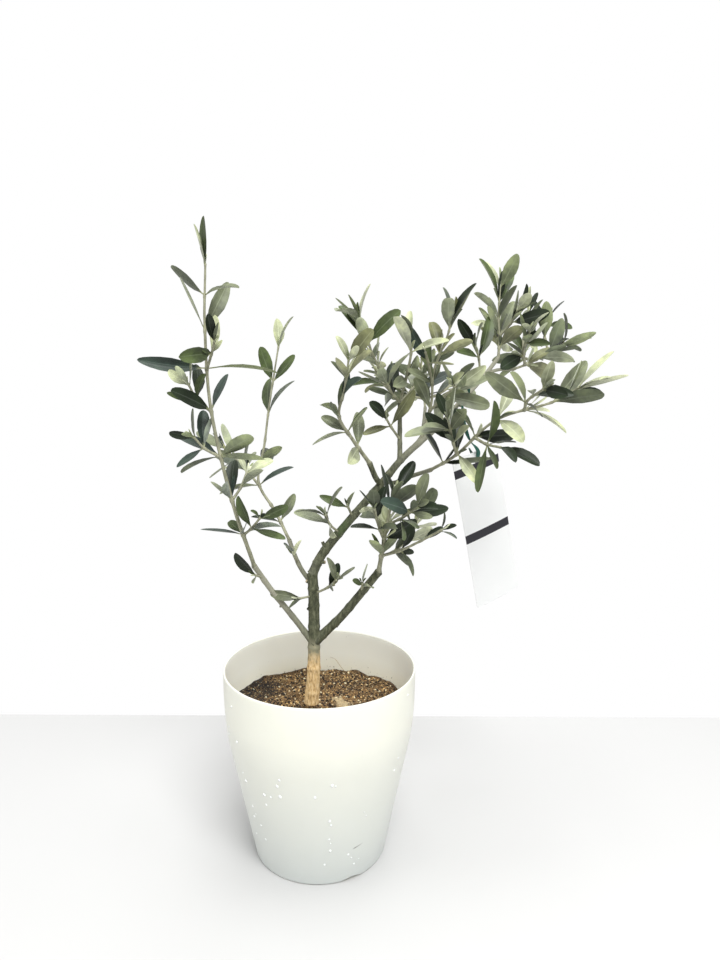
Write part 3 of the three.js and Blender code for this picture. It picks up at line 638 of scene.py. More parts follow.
def tagPlace(across, through, up):
    return tagTurn @ Vector((across, through, up)) + Vector(tag["hole"])


def tiePath():
    bough = laidLimbs["bough_upper_right"]
    point, ahead, side, out = frameAt(bough["pointAt"], tie["loopAt"])
    radius = bough["radiusAt"](tie["loopAt"]) + tie["radius"] + tie["loopGap"]
    loop = []
    for step in range(7):
        turn = tie["loopTurn"] * step / 6
        angle = math.radians(turn + tie["loopFrom"])
        loop.append(point - side * radius * math.cos(angle) + out * radius * math.sin(angle)
                    + ahead * tie["loopPitch"] * (0.5 - turn / tie["loopTurn"]))
    freeEnd = [loop[0] + Vector(shift) for shift in tie["freeEnd"]]
    return [*freeEnd, *loop, *[Vector(p) for p in tie["drop"]], *[tagPlace(*place) for place in tie["eye"]]]


tieBar = {"pointAt": curveOf(tiePath()), "radiusAt": lambda share: tie["radius"]}


# Leaves: where each is, by the rule of the solids

def placeLeaf(twig, node, side, second, random):
    share = node / twig["nodes"]
    foot, ahead, sideways, out = frameAt(twig["pointAt"], share)
    jitter = lambda: 2 * random() - 1
    turn = twig["turn"] + 90 * (node - 1) + 180 * side + jitter() * growth["turnJitter"]
    angle = math.radians(turn + (growth["axilTurn"] if second else 0))
    away = sideways * math.cos(angle) + out * math.sin(angle)
    opening = twig["angles"][node - 1] * (growth["axilSpread"] if second else 1)
    spread = math.radians(opening + jitter() * growth["spreadJitter"])
    point = (ahead * math.cos(spread) + away * math.sin(spread)).normalized()
    face = ahead + Vector((0, -growth["frontward"], growth["upward"]))
    face = (face - point * face.dot(point)).normalized()
    face.rotate(Quaternion(point, math.radians(jitter() * growth["rollJitter"])))
    full = twig["lengths"][node - 1] * (growth["axilLength"] if second else 1)
    blade = full * (1 + jitter() * growth["lengthJitter"])
    width = min(blade * leafForm["widthShare"], leafForm["widest"]) * (1 + jitter() * growth["widthJitter"])
    shift = leafForm["aboveNode"] if node < twig["nodes"] else -leafForm["belowTip"]
    return {
        "root": foot + ahead * shift, "point": point, "face": face, "across": point.cross(face),
        "length": blade + leafForm["petiole"], "width": width,
    }


def bladePoints(leaf):
    rows = math.ceil(leaf["length"] / testing["spacing"])
    points = []
    for row in range(1, rows + 1):
        along = row / rows
        if along < testing["from"]:
            continue
        half = 0.5 * leaf["width"] * min(1, testing["taper"] * (1 - along) + testing["tipWidth"])
        for place in testing["acrossShares"]:
            sideways = leaf["across"] * (place * half)
            points.append(leaf["root"] + leaf["point"] * (along * leaf["length"]) + sideways)
    return np.array(points)


# Straight pieces of limbs, twigs, tie and tag, to test what comes near them
class Bars:
    def __init__(self):
        self.starts, self.ends, self.radii, self.owners = [], [], [], []

    def add(self, start, end, radius, owner):
        self.starts.append(start)
        self.ends.append(end)
        self.radii.append(radius)
        self.owners.append(owner)

    def addBar(self, bar, owner, stations=testing["barStations"]):
        for i in range(stations):
            radius = bar["radiusAt"]((i + 0.5) / stations)
            self.add(bar["pointAt"](i / stations), bar["pointAt"]((i + 1) / stations), radius, owner)

    def close(self):
        self.starts, self.ends = np.array(self.starts), np.array(self.ends)
        self.radii, self.owners = np.array(self.radii), np.array(self.owners)
        self.runs = self.ends - self.starts
        self.squares = np.maximum((self.runs ** 2).sum(1), 1e-9)

    # Distance from each point to each piece's skin
    def gaps(self, points):
        offset = points[:, None] - self.starts[None]
        share = np.clip((offset * self.runs).sum(2) / self.squares, 0, 1)
        nearest = offset - share[..., None] * self.runs
        return np.sqrt((nearest ** 2).sum(2)) - self.radii


bars = Bars()
bars.addBar(tieBar, "tie", testing["tieStations"])
for limbName, limb in laidLimbs.items():
    bars.addBar(limb, limbName)
for row in range(testing["tagRows"]):
    up = tag["holeInset"] - tag["height"] * row / (testing["tagRows"] - 1)
    edges = [tagPlace(side * tag["width"] / 2, 0, up) for side in (-1, 1)]
    bars.add(*edges, testing["tagRadius"], "tag")
twigs = {}
for massName, mass in masses.items():
    twigs[massName] = growTwigs(massName, mass)
    for twig in twigs[massName]:
        bars.addBar(twig, twig["name"])
bars.close()

leaves = []
bladeTests = []


def keepsClear(points, owner, twig, easing=1.0):
    gaps = bars.gaps(points)
    stem = bars.owners == owner
    if gaps[len(points) - 2, stem].min() >= growth["reach"]:
        return False
    others = bars.owners != twig["name"]
    if gaps[:, others].min() < growth["limbGap"] * easing:
        return False
    for otherOwner, otherPoints in bladeTests:
        gap = (growth["ownGap"] if otherOwner == owner else growth["otherGap"]) * easing
        if np.linalg.norm(otherPoints[0] - points[0]) > testing["farApart"]:
            continue
        if np.sqrt(((points[:, None] - otherPoints[None]) ** 2).sum(2)).min() < gap:
            return False
    return True


def growLeaf(owner, number, twig, node, side, second, random):
    for attempt in range(growth["tries"]):
        leaf = placeLeaf(twig, node, side, second, random)
        points = bladePoints(leaf)
        if keepsClear(points, owner, twig):
            leaf.update(owner=owner, spray=twig["name"], node=node, share=node / twig["nodes"],
                        kind=int(second), seed=number)
            leaves.append(leaf)
            bladeTests.append((owner, points))
            return


# First leaves draw from their flush's seed, and second leaves from the mass's own for them
def leafRandom(mass, twig, number, place, second):
    step = growth["seedStep"]
    if second:
        return randomFrom((mass["axilSeed"] + number) * step + growth["secondSeeds"] + place)
    flush = place // 2 // growth["flush"]
    return randomFrom(twig["seeds"][min(flush, len(twig["seeds"]) - 1)] * step + place)


for second in (False, True):
    for massName, mass in masses.items():
        if second and mass["axils"] == 0:
            continue
        for number, twig in enumerate(twigs[massName]):
            for place in range(2 * twig["nodes"]):
                node = 1 + place // 2
                dropped = growth["missing"] if node < twig["nodes"] else 0
                random = leafRandom(mass, twig, number, place, second)
                if random() < (1 - mass["axils"] if second else dropped):
                    continue
                leafNumber = growth["twigStep"] * number + place + (growth["secondLeaves"] if second else 0)
                growLeaf(massName, leafNumber, twig, node, place % 2, second, random)
print("leaves of the solids", len(leaves))


# Finer growth than the solids': small axil leaves and tip buds

fine = {
    "share": 0.42, "turn": -30, "spread": 0.5, "length": 0.42, "easing": 0.7,
    "budLength": (6, 10), "budWidth": 0.26, "budSunk": 0.8, "budOutward": 0.5,
    # degrees, and the least share of them and how much more by chance
    "budSpread": 14, "budLeast": 0.6, "budMore": 0.8,
    "firstLeaf": 2000, "firstBud": 500,
}


def growFineLeaf(owner, number, twig, node, side, random):
    ahead = frameAt(twig["pointAt"], node / twig["nodes"])[1]
    for attempt in range(growth["tries"]):
        leaf = placeLeaf(twig, node, side, False, random)
        leaf["point"] = leaf["point"].lerp(ahead, fine["spread"])
        leaf["point"].normalize()
        leaf["point"].rotate(Quaternion(ahead, math.radians(fine["turn"])))
        leaf["face"] = (leaf["face"] - leaf["point"] * leaf["face"].dot(leaf["point"])).normalized()
        leaf["across"] = leaf["point"].cross(leaf["face"])
        leaf["length"] *= fine["length"]
        leaf["width"] *= fine["length"]
        points = bladePoints(leaf)
        if len(points) > 1 and keepsClear(points, owner, twig, fine["easing"]):
            leaf.update(owner=owner, spray=twig["name"], node=node, share=node / twig["nodes"],
                        kind=2, seed=number)
            leaves.append(leaf)
            bladeTests.append((owner, points))
            return


def growBuds(owner, number, twig, random):
    tip, ahead, side, out = frameAt(twig["pointAt"], 1)
    turn = random() * math.pi
    for half in (0, math.pi):
        away = side * math.cos(turn + half) + out * math.sin(turn + half)
        spread = math.radians(fine["budSpread"] * (fine["budLeast"] + fine["budMore"] * random()))
        point = ahead * math.cos(spread) + away * math.sin(spread)
        length = mix(*fine["budLength"], random())
        face = (ahead - point * ahead.dot(point) - away * fine["budOutward"]).normalized()
        face = (face - point * face.dot(point)).normalized()
        leaves.append({
            "root": tip - ahead * fine["budSunk"], "point": point, "face": face, "across": point.cross(face),
            "length": length, "width": length * fine["budWidth"], "owner": owner, "spray": twig["name"],
            "node": twig["nodes"], "share": 1, "kind": 3, "seed": number + (1 if half else 0),
        })


for massName, mass in masses.items():
    firstSeed = mass["seeds"][0] * growth["seedStep"]
    count = fine["firstLeaf"]
    for twig in twigs[massName]:
        for place in range(2 * twig["nodes"]):
            count += 1
            random = randomFrom(firstSeed + count)
            if random() < fine["share"]:
                growFineLeaf(massName, count, twig, 1 + place // 2, place % 2, random)
        bud = count + fine["firstBud"]
        growBuds(massName, bud, twig, randomFrom(firstSeed + bud))
print("all leaves", len(leaves))


# Leaf blades

blade = {
    "rows": [0, 0.08, 0.18, 0.33, 0.5, 0.67, 0.81, 0.91, 0.97, 1],
    "columns": [-1, -0.55, 0, 0.55, 1],
    "thickness": 0.32, "edgeShare": 0.5, "petioleThick": 1.8,
    "petioleHalf": 0.55, "petioleShare": 0.09, "petioleFade": 0.3,
    "bow": (-0.2, 0.6), "fold": (8, 34), "twist": 11, "sickle": 0.05, "straight": 1e-3,
    "smallBow": 0.4, "smallFold": 20,
    "foot": (0.75, 1.15), "blunt": (1.3, 2.9), "tipPower": 0.55, "sharp": 70, "seedStep": 7000,
    "above": {"roughness": 0.43, "ribLift": 1.5, "sheen": 0.05},
    "below": {"roughness": 0.62, "ribLift": 1.25, "sheen": 0.2},
    "finish": {
        # the last value on the next line is how dark the painted shade at each leaf's foot is
        "petiole": (0.36, 0.38, 0.20), "brighten": (1.6, 1.6, 1.4), "darken": 0.57, "footShadePaint": 0.5,
        "cloud": ((60, 2), (260, 3), 0.7), "cloudStops": (0.38, 0.5, 0.62), "specular": 0.3,
        "ribHalf": 0.055, "ribShare": 0.65, "ribWhite": 0.05,
        # from and to along the blade, and the shares at both: foot gives the painted shade at a leaf's foot,
        # and tip the painted light at its tip
        "foot": (0.15, 0.75, 0.6, 0.0), "tip": (0.5, 1.0, 0.0, 0.45), "stalk": (0.06, 0.16, 0.85, 0.0),
        "veins": 95.0, "veinHeight": 0.06, "relief": 0.12, "reliefStrength": 0.5,
    },
}
# Upper and lower colour of each tint; the dark tint is partly the leaves' own dark green and partly painted
# shade
tints = {
    "grey": ((0.160, 0.180, 0.112), (0.350, 0.385, 0.270)),
    "green": ((0.062, 0.086, 0.032), (0.240, 0.280, 0.155)),
    "dark": ((0.011, 0.019, 0.008), (0.105, 0.125, 0.076)),
    "blue": ((0.030, 0.048, 0.038), (0.220, 0.255, 0.210)),
    "khaki": ((0.150, 0.158, 0.078), (0.300, 0.310, 0.180)),
    "young": ((0.400, 0.430, 0.280), (0.560, 0.590, 0.430)),
}
tintShares = {
    "foliage_left": (29, 24, 25, 16, 9, 5),
    "foliage_inner_left": (32, 20, 18, 14, 10, 7),
    # painted shade: the low right mass, shaded under the crown, takes mostly the dark tint
    "foliage_lower_right": (4, 15, 80, 9, 6, 2),
    "foliage_right_top": (12, 27, 56, 5, 6, 20),
    "foliage_outer_right": (15, 21, 50, 5, 8, 18),
    "foliage_far_right": (22, 20, 38, 5, 10, 19),
    "usual": (34, 18, 22, 6, 12, 17),
}
# The chance that a leaf keeps its spray's tint, how often buds and leaves near a tip are young, and
# how the draws are numbered
tinting = {
    "sprayHolds": 0.55, "youngBuds": 0.6, "tipFrom": 0.8, "tipYoung": 2.2,
    "letterStep": 3, "flushStep": 17, "leafStep": 5000,
}


# Share along, place across and thickness sign of a blade's vertices, and its upper and lower faces
def leafTemplate():
    rows, columns = blade["rows"], blade["columns"]
    spots, upper, lower = [], [], []
    rings = []
    for row in rows[:-1]:
        top = list(range(len(spots), len(spots) + len(columns)))
        spots += [(row, u, 0) for u in columns]
        under = list(range(len(spots), len(spots) + len(columns) - 2))
        spots += [(row, u, -1) for u in columns[1:-1]]
        rings.append((top, [top[0], *under, top[-1]]))
    tip = len(spots)
    spots.append((1, 0, 0))
    for (top, under), (nextTop, nextUnder) in zip(rings, rings[1:]):
        for i in range(len(columns) - 1):
            upper.append((top[i], top[i + 1], nextTop[i + 1], nextTop[i]))
            lower.append((under[i + 1], under[i], nextUnder[i], nextUnder[i + 1]))
    top, under = rings[-1]
    for i in range(len(columns) - 1):
        upper.append((top[i], top[i + 1], tip))
        lower.append((under[i + 1], under[i], tip))
    foot = [*rings[0][0], *reversed(rings[0][1][1:-1])]
    lower.append(tuple(reversed(foot)))
    return np.array(spots, dtype=float), upper, lower


# Vertices of one blade, bowed, folded along its midrib and twisted
def bendBlade(leaf, spots, draw):
    along, u, under = spots[:, 0], spots[:, 1], spots[:, 2]
    root, point = np.array(leaf["root"]), np.array(leaf["point"])
    face, across = np.array(leaf["face"]), np.array(leaf["across"])
    length, width = leaf["length"], leaf["width"]
    small = leaf["kind"] >= 2
    bow = draw.uniform(*blade["bow"]) * (blade["smallBow"] if small else 1)
    fold = math.radians(draw.uniform(*blade["fold"]) + (blade["smallFold"] if small else 0))
    twist = math.radians(draw.normal(0, blade["twist"]))
    sickle = draw.normal(0, blade["sickle"])
    petiole = max(blade["petioleShare"], leafForm["petiole"] / length)
    s = np.clip((along - petiole) / (1 - petiole), 0, 1)
    rising = np.sin(np.pi * np.minimum(s, 0.5)) ** draw.uniform(*blade["foot"])
    closing = (1 - (2 * np.maximum(s - 0.5, 0)) ** draw.uniform(*blade["blunt"])) ** blade["tipPower"]
    outline = rising * closing
    stalk = blade["petioleHalf"] * np.clip(1 - (s / blade["petioleFade"]), 0.0, 1) ** 0.5
    half = np.maximum(0.5 * width * outline, stalk)
    half[-1] = 0
    thick = blade["thickness"] * np.where(s > 0, mix(blade["edgeShare"], 1, outline), blade["petioleThick"])
    angle = bow * along
    safe = bow if abs(bow) > blade["straight"] else blade["straight"]
    forward = length * np.sin(safe * along) / safe
    drop = length * (1 - np.cos(safe * along)) / safe
    normal = face * np.cos(angle)[:, None] + point * np.sin(angle)[:, None]
    turned = twist * along
    wide = across * np.cos(turned)[:, None] + normal * np.sin(turned)[:, None]
    normal = normal * np.cos(turned)[:, None] - across * np.sin(turned)[:, None]
    centre = root + point * forward[:, None] - face * drop[:, None]
    centre = centre + across * (sickle * length * along ** 2)[:, None]
    out = (u * half)[:, None] * wide * math.cos(fold) + (np.abs(u) * half * math.sin(fold))[:, None] * normal
    return centre + out + (under * thick)[:, None] * normal


# A leaf takes its spray's tint or one of its own; buds and leaves near a tip are more often young
def tintOf(leaf):
    shares = np.array(tintShares.get(leaf["owner"], tintShares["usual"]), dtype=float)
    names = list(tints)
    letters = enumerate(leaf["spray"])
    spraySeed = sum(ord(letter) * (i + tinting["letterStep"]) for i, letter in letters)
    sprayDraw = np.random.default_rng(spraySeed + tinting["flushStep"] * (leaf["node"] // 2))
    leafSeed = masses[leaf["owner"]]["seeds"][0] * tinting["leafStep"] + leaf["seed"]
    leafDraw = np.random.default_rng(leafSeed)
    if leaf["kind"] == 3:
        return "young" if leafDraw.random() < tinting["youngBuds"] else "green"
    if leaf["kind"] == 2 or leaf["share"] > tinting["tipFrom"]:
        shares[names.index("young")] *= tinting["tipYoung"]
    draw = sprayDraw if leafDraw.random() < tinting["sprayHolds"] else leafDraw
    return names[int(np.searchsorted(np.cumsum(shares) / shares.sum(), draw.random()))]


def leafMaterial(name, colour, side):
    finish = blade["finish"]
    material, tree, shader = newMaterial(name, colour, side["roughness"])
    where = addNode(tree, "ShaderNodeUVMap", uv_map="UVMap").outputs[0]
    split = addNode(tree, "ShaderNodeSeparateXYZ", {"Vector": where})
    across, along = split.outputs[0], split.outputs[1]
    fromRib = calc(tree, "ABSOLUTE", minus(tree, across, 0.5))
    rib = mapRange(tree, fromRib, 0.0, finish["ribHalf"], 1.0, 0.0)
    # Each leaf drifts in tone, and is painted darker at its foot, as painted shade, and paler towards its
    # tip, as painted light
    cloud = mixedNoise(tree, *finish["cloud"])
    bright = [min(1, c * share) for c, share in zip(colour, finish["brighten"])]
    tones = (shaded(colour, finish["darken"]), colour, bright)
    mottled = ramp(tree, cloud, list(zip(finish["cloudStops"], tones)))
    footShadeShare = mapRange(tree, along, *finish["foot"])
    footShaded = blend(tree, footShadeShare, mottled, shaded(colour, finish["footShadePaint"]))
    shadedAndLit = blend(tree, mapRange(tree, along, *finish["tip"]), footShaded, bright)
    paler = [min(1, c * side["ribLift"] + finish["ribWhite"]) for c in colour]
    ribbed = blend(tree, times(tree, rib, finish["ribShare"]), shadedAndLit, paler)
    stalk = mapRange(tree, along, *finish["stalk"])
    tree.links.new(blend(tree, stalk, ribbed, finish["petiole"]), shader.inputs["Base Color"])
    veins = calc(tree, "SINE", times(tree, minus(tree, along, fromRib), finish["veins"]))
    height = plus(tree, times(tree, veins, finish["veinHeight"]), rib)
    bump(tree, shader, height, finish["relief"] * mm, finish["reliefStrength"])
    shader.inputs["Sheen Weight"].default_value = side["sheen"]
    shader.inputs["Specular IOR Level"].default_value = finish["specular"]
    return material


def makeLeaves():
    spots, upper, lower = leafTemplate()
    uvs = np.column_stack([spots[:, 1] * 0.5 + 0.5, spots[:, 0]])
    kinds = [0] * len(upper) + [1] * len(lower)
    made = []
    for tint, (above, below) in tints.items():
        heap = Heap()
        for leaf in [leaf for leaf in leaves if tintOf(leaf) == tint]:
            seed = masses[leaf["owner"]]["seeds"][0] * blade["seedStep"] + leaf["seed"]
            heap.add(bendBlade(leaf, spots, np.random.default_rng(seed)), upper + lower, kinds, uvs)
        materials = [leafMaterial(f"{tint}LeafAbove", above, blade["above"]),
                     leafMaterial(f"{tint}LeafBelow", below, blade["below"])]
        piece = heap.make(f"leaves{tint.capitalize()}", materials, sharp=blade["sharp"])
        made.append(piece)
        print(piece.name, len(piece.data.polygons))
    return made


# Limbs and twigs as bent bars with relief

# Vertices and faces of a bent tapered bar, closed at both ends; rise is how far its end bulges out
def bar(pointAt, radiusAt, sides, steps, relief=None, start=0.0, rise=0.5):
    vertices, faces = [], []
    for step in range(steps + 1):
        share = mix(start, 1, step / steps)
        point, ahead, side, out = frameAt(pointAt, share)
        radius = radiusAt(share)
        for corner in range(sides):
            angle = 2 * math.pi * corner / sides
            away = side * math.cos(angle) + out * math.sin(angle)
            place = point + away * radius
            if relief:
                place = place + away * relief(place)
            vertices.append(place)
    for step in range(steps):
        for corner in range(sides):
            a, b = step * sides + corner, step * sides + (corner + 1) % sides
            faces.append((a, b, b + sides, a + sides))
    first = len(vertices)
    vertices.append(pointAt(start))
    point, ahead, side, out = frameAt(pointAt, 1)
    vertices.append(point + ahead * (radiusAt(1) * rise))
    last = steps * sides
    for corner in range(sides):
        following = (corner + 1) % sides
        faces.append((first, following, corner))
        faces.append((first + 1, last + corner, last + following))
    return np.array([tuple(v) for v in vertices]), faces


bark = {
    "corkTop": 167, "corkFade": 6, "corkWaver": 5, "corkEdge": (0.3, 0),
    # scales of the relief's noises, across and up, and their heights
    "corkDepth": 0.62, "ridges": (0.62, 0.13), "ridgeHeight": 0.8, "crumbs": (1.6, 0.9), "crumbHeight": 0.35,
    "corkSunk": 0.35, "smoothDepth": 0.1, "ripples": (0.5, 0.16), "fine": (1.9, 1.9), "fineHeight": 0.5,
    "trunkSides": 88, "trunkStep": 0.8, "trunkStart": 0.08, "leaderSides": 40, "boughSides": 26,
    "boughStep": 1.4, "twigSides": 10, "twigStep": 1.6, "fewestSteps": 6, "nodeEvery": 17,
    # the radius's share, its share between nodes, how much more at one and how far that reaches
    "boughNodes": (1, 1, 0.10, 1.6), "twigNodes": (0.92, 0.88, 0.34, 1.5),
    "cork": (0.68, 0.47, 0.22), "corkDark": (0.34, 0.21, 0.09), "corkPale": (0.84, 0.66, 0.40),
    "young": (0.076, 0.083, 0.045), "youngPale": (0.150, 0.156, 0.094), "youngDark": (0.037, 0.041, 0.022),
    "grey": (0.30, 0.285, 0.19), "wood": (0.62, 0.50, 0.32), "twig": (0.30, 0.30, 0.205),
    "moss": (0.045, 0.075, 0.020),
    "mossSpot": {"place": (17, -7, 267), "reach": 9, "solid": 0.5, "edge": (300, 4, 0.012), "share": 0.8},
    # painted light: the pale colour that paints the outer boughs paler, as if lit, with its distances from
    # the crown's middle and its most share
    "litBoughPaint": (0.35, 0.345, 0.265), "middle": 28, "litFrom": 26, "litTo": 58, "litMost": 0.75,
    "streak": (210, 5, (2.2, 2.2, 0.8), 0.6), "streakStops": (0.36, 0.5, 0.66),
    "fleck": (900, 2), "fleckRange": (0.62, 0.72), "fleckHeight": 0.4, "youngRoughness": 0.7,
    "fissure": (480, 6, (2.2, 2.2, 0.42), 0.62), "fissureStops": (0.36, 0.46, 0.66), "corkRoughness": 0.85,
    "corkWander": (120, 3, 0.02), "greyTo": 2.2, "corkEnd": 0.4,
    "grain": (1200, 3), "grainDark": 0.7, "woodRoughness": 0.8,
    "twigStreak": (140, 4, (2.5, 2.5, 1)), "twigShades": (0.62, 1.3), "twigRoughness": 0.6,
    # height in millimetres and strength of each bump
    "youngBump": (0.4, 0.6), "corkBump": (0.7, 0.6), "twigBump": (0.2, 0.5),
}
# Stubs of cut twigs: limb, share of its length, angle round it, length and radius
stubs = [
    ("trunk", 0.66, 20, 2.2, 1.1), ("trunk", 0.90, 330, 2.4, 1.2), ("leader", 0.12, 200, 2.6, 1.3),
    ("leader", 0.23, 10, 3.0, 1.2), ("leader", 0.52, 190, 3.0, 1.2),
    ("bough_lower_right", 0.34, 150, 1.8, 0.9), ("bough_left", 0.5, 10, 1.6, 0.7),
    ("bough_upper_right", 0.5, 200, 2.0, 0.8),
]
stubForm = {"outward": 0.85, "ahead": 0.5, "sides": 12, "steps": 5, "foot": 1.25}


def corkShare(height):
    top, fade = bark["corkTop"], bark["corkFade"]
    return float(1 - smoothStep(top - fade, top + fade, height))


def noiseAt(place, across, up):
    return noise.noise(Vector((place.x * across, place.y * across, place.z * up)))


def trunkRelief(place):
    cork = corkShare(place.z + bark["corkWaver"] * noiseAt(place, *bark["corkEdge"]))
    ridge = 1 - 2 * abs(noiseAt(place, *bark["ridges"]))
    crumb = noiseAt(place, *bark["crumbs"])
    height = ridge * bark["ridgeHeight"] + crumb * bark["crumbHeight"] - bark["corkSunk"]
    return mix(boughRelief(place), bark["corkDepth"] * height, cork)


def boughRelief(place):
    return bark["smoothDepth"] * (noiseAt(place, *bark["ripples"])
                                  + bark["fineHeight"] * noiseAt(place, *bark["fine"]))


# The radius with a slight swelling where each pair of leaves stands or once stood
def swollen(radiusAt, length, nodes, swelling):
    thin, between, more, reach = swelling

    def radius(share):
        away = abs(share * nodes - round(share * nodes)) / nodes * length
        return thin * radiusAt(share) * (between + more * math.exp(-(away / reach) ** 2))
    return radius


def lengthOf(pointAt):
    places = [pointAt(i / 24) for i in range(25)]
    return sum((b - a).length for a, b in zip(places, places[1:]))


# Kinds of a bar's faces where its end is cut wood: the last faces close the foot and the end in turn
def cutEnd(faces, sides):
    return [0] * (len(faces) - 2 * sides) + [0, 1] * sides


def addStub(heap, limbName, share, angle, length, radius):
    limb = laidLimbs[limbName]
    sides = stubForm["sides"]
    point, ahead, side, out = frameAt(limb["pointAt"], share)
    away = side * math.cos(math.radians(angle)) + out * math.sin(math.radians(angle))
    along = (away * stubForm["outward"] + ahead * stubForm["ahead"]).normalized()
    reach = limb["radiusAt"](share) + length
    line = curveOf([point, point + along * reach * 0.5, point + along * reach])
    vertices, faces = bar(line, lambda s: radius * mix(stubForm["foot"], 1, s), sides, stubForm["steps"],
                          boughRelief, rise=0)
    heap.add(vertices, faces, cutEnd(faces, sides))


def makeBark():
    trunkHeap, boughHeap = Heap(), Heap()
    for name, limb in laidLimbs.items():
        length = lengthOf(limb["pointAt"])
        nodes = max(1, round(length / bark["nodeEvery"]))
        radius = swollen(limb["radiusAt"], length, nodes, bark["boughNodes"])
        if name == "trunk":
            steps = round(length / bark["trunkStep"])
            trunkHeap.add(*bar(limb["pointAt"], radius, bark["trunkSides"], steps, trunkRelief,
                               start=bark["trunkStart"]))
            continue
        steps = max(bark["fewestSteps"], round(length / bark["boughStep"]))
        if name == "leader":
            sides = bark["leaderSides"]
            vertices, faces = bar(limb["pointAt"], radius, sides, steps, boughRelief, rise=0)
            boughHeap.add(vertices, faces, cutEnd(faces, sides))
        else:
            boughHeap.add(*bar(limb["pointAt"], radius, bark["boughSides"], steps, boughRelief))
    for stub in stubs:
        addStub(trunkHeap if stub[0] == "trunk" else boughHeap, *stub)
    cut = cutWood()
    trunk = trunkHeap.make("trunkBark", [trunkBarkMaterial(), cut])
    boughs = boughHeap.make("boughBark", [youngBarkMaterial(), cut])
    return trunk, boughs


def youngBarkColour(tree):
    streak = noiseValue(tree, *bark["streak"])
    fleck = noiseValue(tree, *bark["fleck"])
    tones = (bark["youngDark"], bark["young"], bark["youngPale"])
    colour = ramp(tree, streak, list(zip(bark["streakStops"], tones)))
    flecked = blend(tree, mapRange(tree, fleck, *bark["fleckRange"]), colour, bark["youngPale"])
    return blend(tree, patchShare(tree, bark["mossSpot"]), flecked, bark["moss"]), streak, fleck


# Painted light and shade: the outer boughs are painted paler, as if lit, than those in the shaded middle of
# the crown
def youngBarkMaterial():
    material, tree, shader = newMaterial("youngBark", bark["young"], bark["youngRoughness"])
    colour, streak, fleck = youngBarkColour(tree)
    away = calc(tree, "ABSOLUTE", minus(tree, axis(tree, "X"), bark["middle"] * mm))
    outer = mapRange(tree, away, bark["litFrom"] * mm, bark["litTo"] * mm, 0.0, bark["litMost"])
    tree.links.new(blend(tree, outer, colour, bark["litBoughPaint"]), shader.inputs["Base Color"])
    height, strength = bark["youngBump"]
    bump(tree, shader, plus(tree, streak, times(tree, fleck, bark["fleckHeight"])), height * mm, strength)
    return material


def trunkBarkMaterial():
    material, tree, shader = newMaterial("corkyBark", bark["cork"], bark["corkRoughness"])
    young = youngBarkColour(tree)[0]
    fissure = noiseValue(tree, *bark["fissure"])
    tones = (bark["corkDark"], bark["cork"], bark["corkPale"])
    cork = ramp(tree, fissure, list(zip(bark["fissureStops"], tones)))
    height = plus(tree, axis(tree, "Z"), wander(tree, *bark["corkWander"]))
    top, fade = bark["corkTop"] * mm, bark["corkFade"] * mm
    # Grey skin between the cork and the green bark above
    greyed = blend(tree, mapRange(tree, height, top, top + bark["greyTo"] * fade), bark["grey"], young)
    share = mapRange(tree, height, top - fade, top + fade * bark["corkEnd"])
    tree.links.new(blend(tree, share, cork, greyed), shader.inputs["Base Color"])
    height, strength = bark["corkBump"]
    bump(tree, shader, fissure, height * mm, strength)
    return material


def cutWood():
    material, tree, shader = newMaterial("cutWood", bark["wood"], bark["woodRoughness"])
    grain = noiseValue(tree, *bark["grain"])
    mottle(tree, shader, grain, (0.3, shaded(bark["wood"], bark["grainDark"])), (0.7, bark["wood"]))
    return material


def makeTwigs():
    heap = Heap()
    for massName in masses:
        for twig in twigs[massName]:
            length = lengthOf(twig["pointAt"])
            radius = swollen(twig["radiusAt"], length, twig["nodes"], bark["twigNodes"])
            steps = max(bark["fewestSteps"], round(length / bark["twigStep"]))
            heap.add(*bar(twig["pointAt"], radius, bark["twigSides"], steps, boughRelief))
    material, tree, shader = newMaterial("twigSkin", bark["twig"], bark["twigRoughness"])
    streak = noiseValue(tree, *bark["twigStreak"])
    dark, light = (shaded(bark["twig"], share) for share in bark["twigShades"])
    mottle(tree, shader, streak, (0.3, dark), (0.7, light))
    height, strength = bark["twigBump"]
    bump(tree, shader, streak, height * mm, strength)
    return heap.make("twigs", [material])


# Pot

